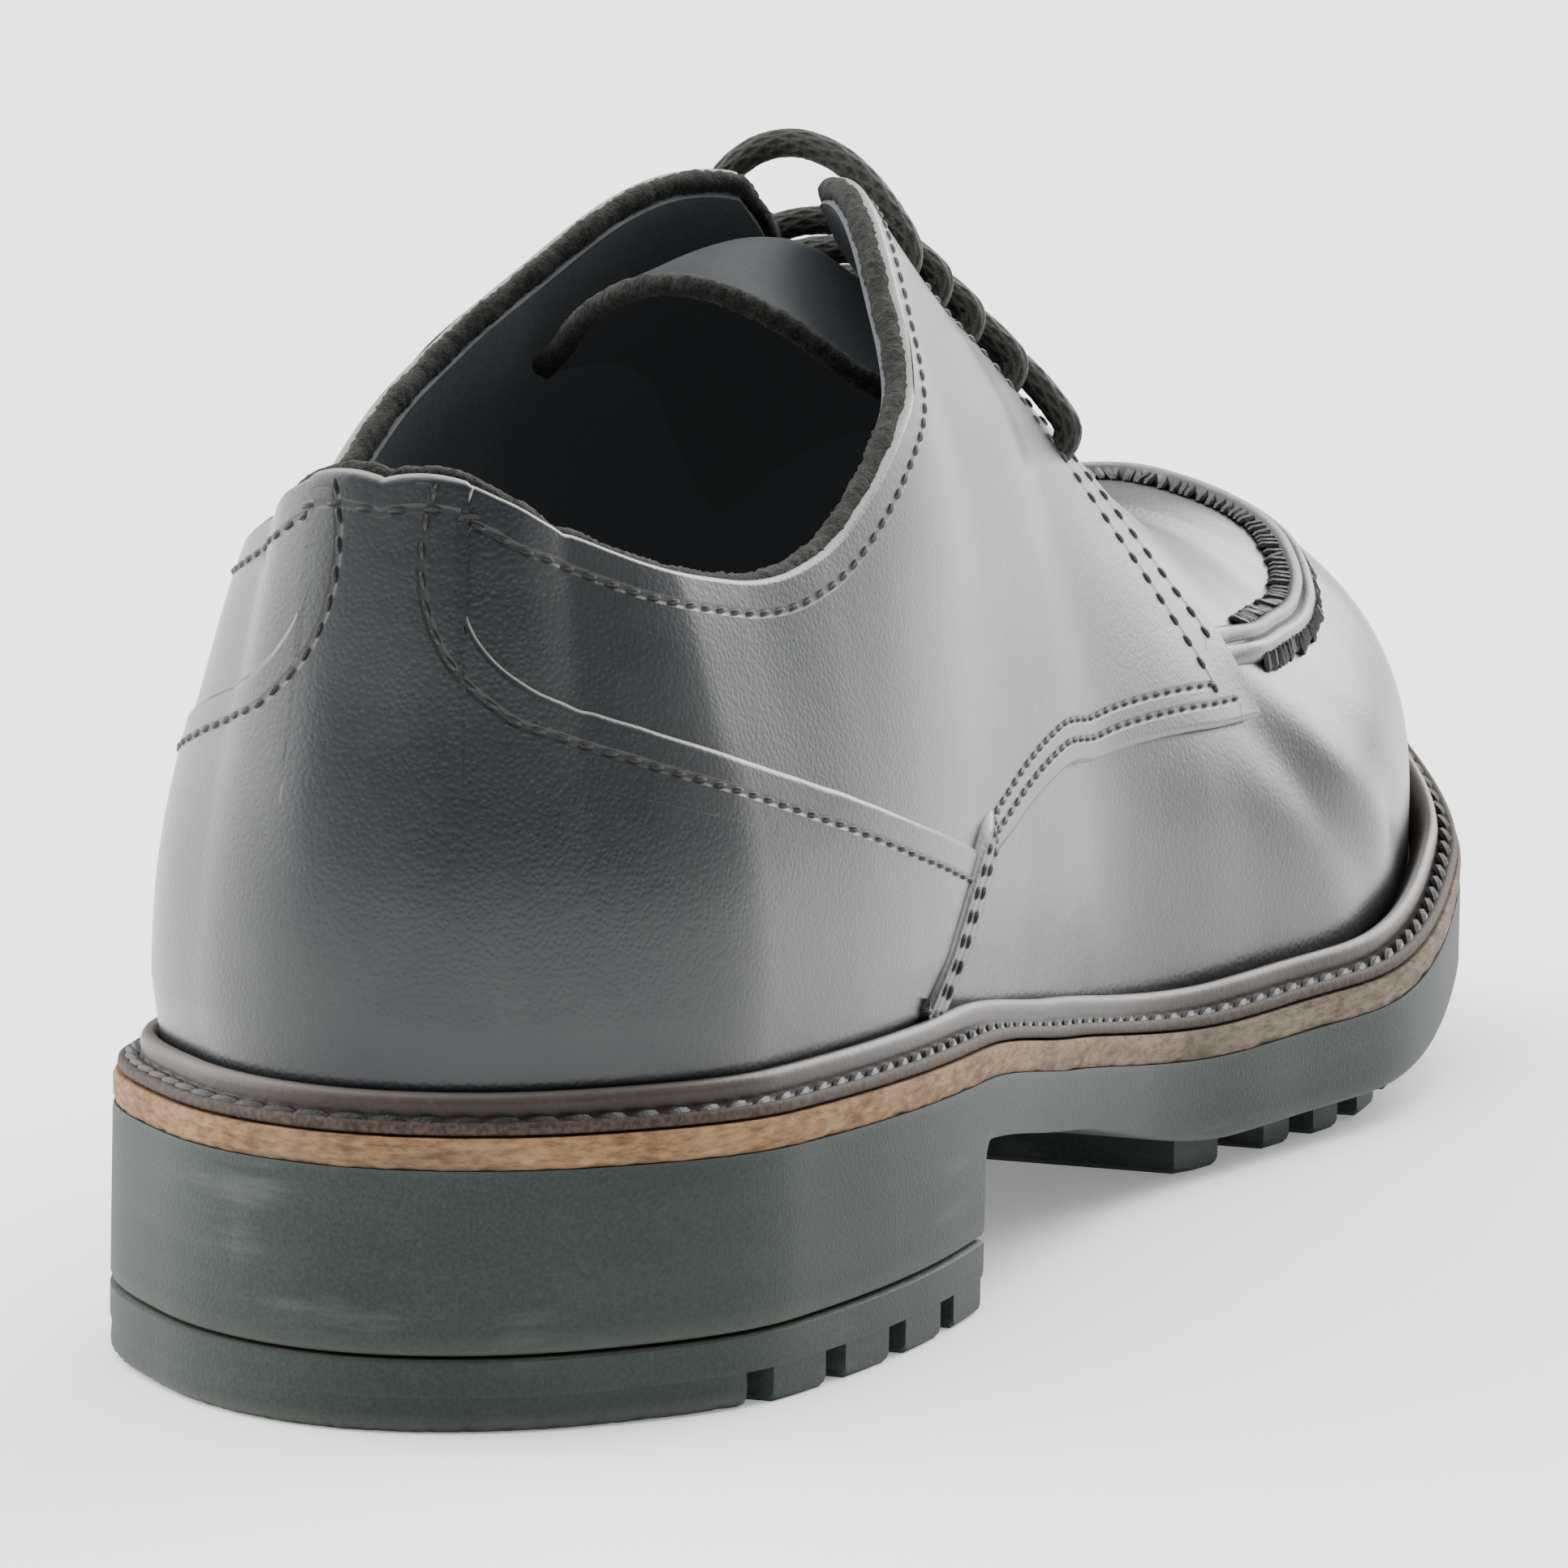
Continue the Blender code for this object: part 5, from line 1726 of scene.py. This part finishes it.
@dataclass
class Tongue:
    """The tongue under the facings, free at its top, with a raw edge there."""

    bench: Bench
    wall: float
    gap: float = 0.0009
    thick: float = 0.0022
    top: float = 0.345
    corner: float = 0.040
    root: float = 0.620
    free_from: float = 0.500
    edge_top: float = 0.440
    edge_root: float = 0.620
    sag: float = 0.0235
    bend: float = 1.2
    arch: float = 2.4
    roll: float = 0.00125
    columns: int = 61
    rows: int = 46

    def sheet(self, depth: float) -> Array:
        """Points of the tongue by column and row, a depth below its upper face.

        Args:
            depth: Distance below the upper face.

        Returns:
            The grid of points.
        """
        last = self.bench.last
        grid = []
        for share in np.linspace(-1.0, 1.0, self.columns):
            side = Side.INNER if share < 0.0 else Side.OUTER
            along = np.linspace(self.root, self.top + self.corner * share * share, self.rows)
            free = np.maximum(self.free_from - along, 0.0) / (self.free_from - self.top)
            edge = self.edge_top + (self.edge_root - self.edge_top) * (1.0 - free)
            rise = 1.0 - abs(share) * (1.0 - edge)
            offset = -self.wall - self.gap - depth
            line = last.point(side, last.angle_of(along), rise, offset)
            line[:, 2] -= self.sag * free**self.bend * (1.0 - abs(share) ** self.arch)
            grid.append(line)
        return np.array(grid)

    def build(self, lining: Finish, felt: Finish) -> None:
        """Makes the tongue.

        Args:
            lining: The tongue's finish.
            felt: Its raw edge's finish.
        """
        upper, under = self.sheet(0.0), self.sheet(self.thick)
        points, faces, rim = self.bench.shell(upper, under)
        piece = self.bench.piece("tongue_leather", points, faces, lining, {"rim": rim})
        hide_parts("tongue")
        rear = resample((upper[:, -1] + under[:, -1]) / 2, 0.0004)
        points, faces, marks = self.bench.tube(rear, self.roll, 12, seed=5, rough=0.00008)
        self.bench.piece("tongue_edge", points, faces, felt, marks, sharp=180.0)


@dataclass
class Laces:
    """The lace's runs over the facings, and its run from hole to hole."""

    bench: Bench
    seams: Seams
    radius: float = 0.0016
    sides: int = 20
    first_seed: int = 11
    rough: float = 0.00002
    over_leather: float = 0.0040
    pitch: float = 0.0004
    reach: float = 0.0024
    arch_reach: float = 0.0042
    to_edge: float = 0.115
    arch_slack: float = 0.0060
    lean: float = 0.0040
    run: tuple = (
        (0.00, 0.0, -0.20, 0.00),
        (0.00, 0.0, 0.55, 0.00),
        (0.15, 0.0, 1.00, 0.00),
        (0.60, 0.0, 1.00, 0.25),
        (1.00, 0.0, 1.00, 0.55),
        (1.00, 0.5, 1.00, 0.85),
        (1.00, 1.0, 1.00, 1.00),
    )

    def route(self, row: tuple, slack: float) -> Array:
        """Points of one run, from the inner eyelet to the outer one.

        Args:
            row: The eyelets' place, as (along, rise).
            slack: How much higher the run hangs at the ridge.

        Returns:
            The points.
        """
        last = self.bench.last
        angle = float(last.angle_of(row[0]))
        half = []
        for to_edge, to_ridge, height, share in self.run:
            rise = row[1] + to_edge * self.to_edge + to_ridge * (1.0 - row[1] - self.to_edge)
            half.append((min(rise, 1.0), height * self.over_leather + share * slack))
        rises, heights = np.array(half).T
        angles = np.full(len(rises), angle)
        one = last.point(Side.INNER, angles, rises, heights)
        other = last.point(Side.OUTER, angles, rises, heights)
        return np.concatenate([one, other[::-1][1:]])

    def smooth(self, route: Array, reach: float) -> Array:
        """A smooth close path near a route's points."""
        return self.bench.last.eased(resample(route, self.pitch), int(reach / self.pitch))

    def build(self, braid: Finish) -> None:
        """Makes the lace's runs.

        Args:
            braid: The lace's finish.
        """
        for k, row in enumerate(self.seams.eyelets):
            name = f"lace_bar_{k}" if k else "lace_arch"
            path = self.smooth(self.route(row, 0.0), self.reach) if k else self.arch(row)
            settings = {"sides": self.sides, "seed": self.first_seed + k, "rough": self.rough}
            points, faces, marks = self.bench.tube(path, self.radius, **settings)
            piece = self.bench.piece(f"{name}_cord", points, faces, braid, marks, sharp=180.0)
            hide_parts(name)
            if name == "lace_arch":
                world = path + self.bench.last.shift()

    def arch(self, row: tuple) -> Array:
        """The slack run over the top eyelets, which leans to the outer side.

        Args:
            row: The eyelets' place, as (along, rise).

        Returns:
            Close points of its centre line.
        """
        path = self.smooth(self.route(row, self.arch_slack), self.arch_reach)
        share = np.linspace(0.0, 1.0, len(path))
        path[:, 1] += self.lean * np.sin(math.pi * share) ** 1.5
        return path


@dataclass
class Sole:
    """Rubber unit, heel lift, lugs, midsole and welt, with close stations."""

    bench: Bench
    lift: float = 0.0078
    heel_lug: float = 0.0038
    lug_inset: float = 0.0045
    lug_root: float = 0.0010
    lug_soft: float = 0.0005
    sanding: float = 0.00022
    breast_round: float = 0.0035
    round: float = 0.0008
    heel_rows: int = 4
    heel_pitch: float = 0.0150
    heel_gap: float = 0.0042
    lug_rows: tuple = (
        (0.1705, 0.1803),
        (0.1912, 0.1970),
        (0.2025, 0.2083),
        (0.2138, 0.2196),
        (0.2251, 0.2309),
        (0.2364, 0.2422),
        (0.2477, 0.2535),
        (0.2590, 0.2648),
        (0.2703, 0.2761),
    )
    lug_columns: tuple = ((0.00, 0.31), (0.37, 0.63), (0.69, 1.00))
    welt_profile: tuple = (
        (0.60, 0.00, 0.0, 1.0), (0.45, 0.35, 0.0, 1.0), (0.55, 1.00, 0.0, 1.0),
        (0.95, 1.28, 0.0, 1.0), (1.35, 1.20, 0.0, 0.9), (1.70, 0.80, 0.0, 0.5),
        (2.30, 0.75, 0.0, 0.2), (2.75, 1.10, 0.0, 0.0), (2.90, 1.80, 0.0, 0.0),
        (2.80, 2.70, 0.1, 0.0), (2.95, 3.45, 0.5, 0.0), (3.35, 3.95, 1.0, 0.0),
        (3.90, 4.00, 0.9, 0.0), (4.35, 3.75, 0.3, 0.0), (5.00, 2.80, 0.0, 0.0),
        (5.80, 1.60, 0.0, 0.0), (5.95, 0.00, 0.0, 0.0),
    )
    welt_row: float = 0.00195
    welt_row_height: float = 0.0011

    def body(
        self,
        name: str,
        stations: Array,
        profile: list,
        finish: Finish,
        ragged: float = 0.0,
        sharp: float = 50.0,
    ) -> bpy.types.Object:
        """A loft across the sole.

        Args:
            name: The piece's name.
            stations: Station angles from heel to toe.
            profile: Rows of (inset, height function, rim share), from the bottom up.
            finish: Its finish.
            ragged: How unevenly its lower edge was cut and sanded.
            sharp: Edges that bend more than this many degrees stay sharp.

        Returns:
            The piece.
        """
        last = self.bench.last
        rings, rims = [], []
        for side in Side:
            rows = list(enumerate(profile))
            rows = rows if side is Side.INNER else rows[::-1]
            for k, (inset, height, rim) in rows:
                chance = np.random.default_rng(40 + k + side.value)
                uneven = np.abs(chance.normal(0.0, 1.0, len(stations)))
                uneven = np.convolve(uneven, [0.25, 0.5, 0.25], "same") * ragged
                uneven[:2] = uneven[-2:] = 0.0
                edge = last.edge(side, stations, inset)
                point = edge.copy()
                if k < 2:
                    inside = last.edge(side, stations, inset + 0.001)
                    point = edge + (inside - edge) * (uneven * 1000.0)[:, None]
                point[:, 2] = height(point[:, 0]) + (uneven * 0.5 if k == 1 else 0.0)
                rings.append(point)
                rims.append(np.full(len(stations), rim))
        grid = np.stack(rings, axis=1)
        count, sides = grid.shape[:2]
        points = grid.reshape(-1, 3)
        marks = {
            "rim": np.stack(rims, axis=1).ravel(),
            "forward": points[:, 0] / last.sole_length,
        }
        return self.bench.piece(name, points, loft_faces(count, sides), finish, marks, sharp)

    def blocks(self, rows: list, inset: float, low: Callable, high: Callable) -> tuple[Array, list]:
        """Lugs with softened lower edges, in rows and columns.

        Args:
            rows: Where each row starts and ends along the shoe.
            inset: Their distance from the sole's edge.
            low: Height function of their lower faces.
            high: Height function of their roots.

        Returns:
            Points and faces.
        """
        last, soft = self.bench.last, self.lug_soft
        ring_plan = (
            (0, 1.0, high, 0.0),
            (0, 1.0, low, 0.0),
            (0, 1.0, low, soft),
            (1, -1.0, low, soft),
            (1, -1.0, low, 0.0),
            (1, -1.0, high, 0.0),
        )
        points, faces, start_at = [], [], 0
        for start, end in rows:
            xs = np.array([start, start + soft, (start + end) / 2, end - soft, end])
            shrink = np.array([soft, 0.0, 0.0, 0.0, soft])
            angle = last.angle_of(xs / last.sole_length)
            inner = last.edge(Side.INNER, angle, inset)
            outer = last.edge(Side.OUTER, angle, inset)
            for shares in self.lug_columns:
                rings = []
                for end_of, sign, z_from, pull in ring_plan:
                    ring = inner + (outer - inner) * shares[end_of]
                    ring[:, 0] = xs
                    ring[:, 1] += sign * pull
                    ring[:, 2] = z_from(xs)
                    if z_from is low:
                        ring[:, 2] += (soft if pull == 0.0 else 0.0) + shrink
                    rings.append(ring)
                grid = np.stack(rings, axis=1)
                faces += loft_faces(*grid.shape[:2], start_at)
                points.append(grid.reshape(-1, 3))
                start_at += len(points[-1])
        return np.concatenate(points), faces

    def build(self, rubber: Finish, board: Finish, welt: Finish, thread: Finish) -> None:
        """Makes the sole's pieces.

        Args:
            rubber: Finish of the rubber unit, its lugs and the heel's top piece.
            board: The midsole's finish.
            welt: The welt's finish.
            thread: Finish of the welt's stitches.
        """
        last = self.bench.last
        breast = last.heel_breast
        front = float(last.angle_of(breast / last.sole_length))
        seat = self.lift + last.gap

        def level(z: float) -> Callable:
            """A height function that is the same everywhere."""
            return lambda x: np.full_like(x, z)

        def bottom(x: Array) -> Array:
            """Underside of the rubber unit, round the breast's corner.

            Args:
                x: Places along the shoe.

            Returns:
                One height for each place.
            """
            ahead = np.clip((x - breast) / self.breast_round, 0.0, 1.0)
            corner = self.breast_round * (1.0 - np.sqrt(1.0 - (1.0 - ahead) ** 2))
            return np.where(x <= breast, seat, last.plate_bottom(x) - corner)

        heel = np.linspace(0.0, front, 90)
        round_x = breast + self.breast_round * np.linspace(0.01, 1.0, 9)
        corner = last.angle_of(round_x / last.sole_length)
        waist = np.linspace(float(corner[-1]) + 0.004, 1.0, 150)
        stations = np.concatenate([heel, corner, waist])
        soft = self.round
        rubber_unit = self.body(
            "rubber_unit",
            stations,
            [
                (soft, bottom, 0.3),
                (soft * 0.3, lambda x: bottom(x) + soft * 0.3, 0.7),
                (0.0, lambda x: bottom(x) + soft, 0.3),
                (0.0, lambda x: bottom(x) + 0.0024, 0.0),
                (0.0, lambda x: last.stack_top(x) - 0.0008, 0.0),
                (0.00015, last.stack_top, 0.2),
            ],
            rubber,
            sharp=60.0,
        )
        lug_points, lug_faces = self.blocks(
            self.lug_rows,
            self.lug_inset,
            lambda x: last.plate_bottom(x) - last.lug_height,
            lambda x: last.plate_bottom(x) + self.lug_root,
        )
        marks = {"rim": np.zeros(len(lug_points)), "forward": np.ones(len(lug_points))}
        self.bench.piece("forefoot_lugs", lug_points, lug_faces, rubber, marks, sharp=35.0)
        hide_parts("outsole")
        top = self.body(
            "heel_top_piece",
            heel,
            [
                (0.0001, level(self.heel_lug), 0.1),
                (0.0, level(self.heel_lug + 0.0006), 0.0),
                (0.0, level(self.lift - 0.0003), 0.0),
                (0.0004, level(self.lift), 0.6),
            ],
            rubber,
        )
        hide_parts("heel_lift")
        fronts = [breast - k * self.heel_pitch for k in range(self.heel_rows)]
        rows = [(x - self.heel_pitch + self.heel_gap, x - last.gap) for x in fronts]
        back_end = rows[-1][0] - self.heel_gap
        points, faces = self.blocks(rows, 0.0002, level(0.0), level(self.heel_lug + self.lug_root))
        marks = {"rim": np.zeros(len(points)), "forward": np.zeros(len(points))}
        self.bench.piece("heel_lugs", points, faces, rubber, marks, sharp=35.0)
        rear = np.linspace(0.0, float(last.angle_of(back_end / last.sole_length)), 130)
        self.body(
            "heel_rear_tread",
            rear,
            [
                (0.0014, level(0.0), 0.5),
                (0.0005, level(0.0004), 0.7),
                (0.0001, level(0.0012), 0.4),
                (0.0, level(0.0022), 0.0),
                (0.0001, level(self.heel_lug), 0.0),
            ],
            rubber,
            ragged=self.sanding,
        )
        around = np.linspace(0.0, 1.0, 420)
        board_piece = self.body(
            "board_midsole",
            around,
            [
                (0.0002, lambda x: last.stack_top(x) + last.gap * 0.3, 0.7),
                (0.0, lambda x: last.stack_top(x) + 0.0006, 0.0),
                (0.0, lambda x: last.midsole_top(x) - 0.0006, 0.0),
                (0.0003, last.midsole_top, 0.1),
            ],
            board,
            ragged=self.sanding,
        )
        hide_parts("midsole")
        self.storm_welt(welt, thread)

    def around(self, count: int, inset: float, height: float) -> Array:
        """Points right round the sole.

        Args:
            count: Points on each side.
            inset: Their distance from the sole's edge.
            height: Their height over the midsole.

        Returns:
            The points, up the inner side and back down the outer one.
        """
        last, angles, halves = self.bench.last, np.linspace(0.0, 1.0, count), []
        for side in Side:
            point = last.edge(side, angles, inset)
            point[:, 2] = last.midsole_top(point[:, 0]) + last.gap + height
            halves.append(point)
        return np.concatenate([halves[0], halves[1][::-1][1:-1]])

    def storm_welt(self, welt: Finish, thread: Finish) -> None:
        """The welt's ledge, groove and ridge, with its thick stitches.

        Args:
            welt: The welt's finish.
            thread: The stitches' finish.
        """
        rings = [self.around(300, row[0] * MM, row[1] * MM) for row in self.welt_profile]
        grid = np.stack(rings, axis=1)
        count, sides = grid.shape[:2]
        marks = {
            "rim": np.tile([row[2] for row in self.welt_profile], count),
            "ledge": np.tile([row[3] for row in self.welt_profile], count),
        }
        faces = loft_faces(count, sides, closed=True)
        points = grid.reshape(-1, 3)
        piece = self.bench.piece("welt_leather", points, faces, welt, marks, sharp=75.0)
        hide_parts("welt")
        path = self.around(900, self.welt_row, self.welt_row_height)
        normals = np.tile([0.0, 0.0, 1.0], (len(path), 1))
        stitching = Stitching(
            self.bench, pitch=0.0040, length=0.0046, radius=0.00062, lift=0.0001, slant=0.28
        )
        stitching.piece("welt_stitches", [stitching.row(path, normals)], thread)


@dataclass(frozen=True)
class Glow:
    """A soft bright or dark part of the sky round the shoe."""

    towards: tuple[float, float, float]
    outer: float
    inner: float
    gain: float


@dataclass
class Studio:
    """Camera, soft light from all round and a pale floor."""

    base: float = 0.50
    glows: tuple[Glow, ...] = (
        Glow((0.86, -0.26, 0.50), 0.86, 0.985, 9.0),
        Glow((0.90, -0.38, 0.16), 0.80, 0.99, 1.2),
        Glow((0.10, 0.97, 0.25), 0.70, 0.97, 5.0),
        Glow((-0.10, 0.25, 0.96), 0.55, 0.98, 3.4),
        Glow((-0.68, -0.73, 0.08), 0.55, 0.92, -0.48),
    )
    camera_at: tuple = (-1.7246, -0.5637, 0.3413)
    yaw: float = 18.14
    pitch: float = -9.28
    roll: float = 1.11
    lens: float = 380.2
    floor_half: float = 14.0
    pale: float = 0.96
    floor_light: float = 0.25

    def camera(self) -> None:
        """Places the camera at the photo's angle."""
        yaw, pitch, roll = (math.radians(a) for a in (self.yaw, self.pitch, self.roll))
        ahead = Vector(
            (math.cos(yaw) * math.cos(pitch), math.sin(yaw) * math.cos(pitch), math.sin(pitch))
        )
        right = ahead.cross(Vector((0.0, 0.0, 1.0))).normalized()
        up = right.cross(ahead)
        right_now = right * math.cos(roll) + up * math.sin(roll)
        up_now = up * math.cos(roll) - right * math.sin(roll)
        data = bpy.data.cameras.new("camera")
        data.lens = self.lens
        data.sensor_width = 36.0
        data.clip_end = 30.0
        camera = bpy.data.objects.new("camera", data)
        bpy.context.scene.collection.objects.link(camera)
        camera.matrix_world = Matrix(
            (
                (right_now.x, up_now.x, -ahead.x, self.camera_at[0]),
                (right_now.y, up_now.y, -ahead.y, self.camera_at[1]),
                (right_now.z, up_now.z, -ahead.z, self.camera_at[2]),
                (0.0, 0.0, 0.0, 1.0),
            )
        )
        bpy.context.scene.camera = camera

    def sky(self) -> None:
        """Soft light from all round, with its bright and dark parts."""
        world = bpy.data.worlds.new("studio")
        world.use_nodes = True
        nodes = Nodes(world.node_tree)
        direction = nodes.node("ShaderNodeTexCoord", {}, {}, "Generated")
        strength: Value = self.base
        for glow in self.glows:
            towards = tuple(Vector(glow.towards).normalized())
            settings = {"operation": "DOT_PRODUCT"}
            near = nodes.node("ShaderNodeVectorMath", settings, [direction, towards], "Value")
            strength = near.between(glow.outer, glow.inner) * glow.gain + strength
        background = world.node_tree.nodes["Background"]
        background.inputs["Color"].default_value = (1.0, 1.0, 0.99, 1.0)
        world.node_tree.links.new(strength.socket, background.inputs["Strength"])
        bpy.context.scene.world = world

    def floor(self) -> None:
        """A pale floor that reaches past the view."""
        half = self.floor_half
        mesh = bpy.data.meshes.new("floor")
        corners = [(-half, -half, 0), (half, -half, 0), (half, half, 0), (-half, half, 0)]
        mesh.from_pydata(corners, [], [(0, 1, 2, 3)])
        obj = bpy.data.objects.new("floor", mesh)
        bpy.context.scene.collection.objects.link(obj)
        f = Finish("pale_floor", "", 0.9)
        f.fix("Base Color", (self.pale,) * 3)
        f.fix("Emission Color", (1.0, 1.0, 1.0))
        f.fix("Emission Strength", self.floor_light)
        mesh.materials.append(f.material)

    def build(self) -> None:
        """Sets the stage."""
        self.camera()
        self.floor()
        self.sky()


def main() -> None:
    """Builds the looks in order."""
    logging.basicConfig(level=logging.INFO, format="%(message)s")
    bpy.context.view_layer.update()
    last = Last()
    bench = Bench(last)
    seams = Seams()
    vamp = Leather("vamp_grain", "vamp_leather").build()
    quarter = Leather("quarter_grain", "quarter_leather", grain=1600.0).build()
    thread = Thread().build()
    felt = Felt().build()
    lining = Lining().build()
    tongue_lining = Lining(
        "tongue_lining", deep=(0.010, 0.012, 0.014), high=(0.022, 0.025, 0.028), shine=0.12
    ).build()
    upper = Upper(bench, seams)
    upper.vamp(vamp, lining)
    for side in Side:
        upper.quarter(side, quarter, thread)
        upper.leg_piece(side, quarter, thread)
    upper.counter(quarter, thread)
    upper.collar_roll(felt)
    upper.apron(vamp, thread)
    Tongue(bench, upper.wall).build(tongue_lining, felt)
    Laces(bench, seams).build(Braid().build())
    Sole(bench).build(Rubber().build(), Board().build(), Welt().build(), thread)
    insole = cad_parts["insole"]
    insole.data.materials.clear()
    insole.data.materials.append(lining.material)
    Studio().build()


if __name__ == "__main__":
    main()
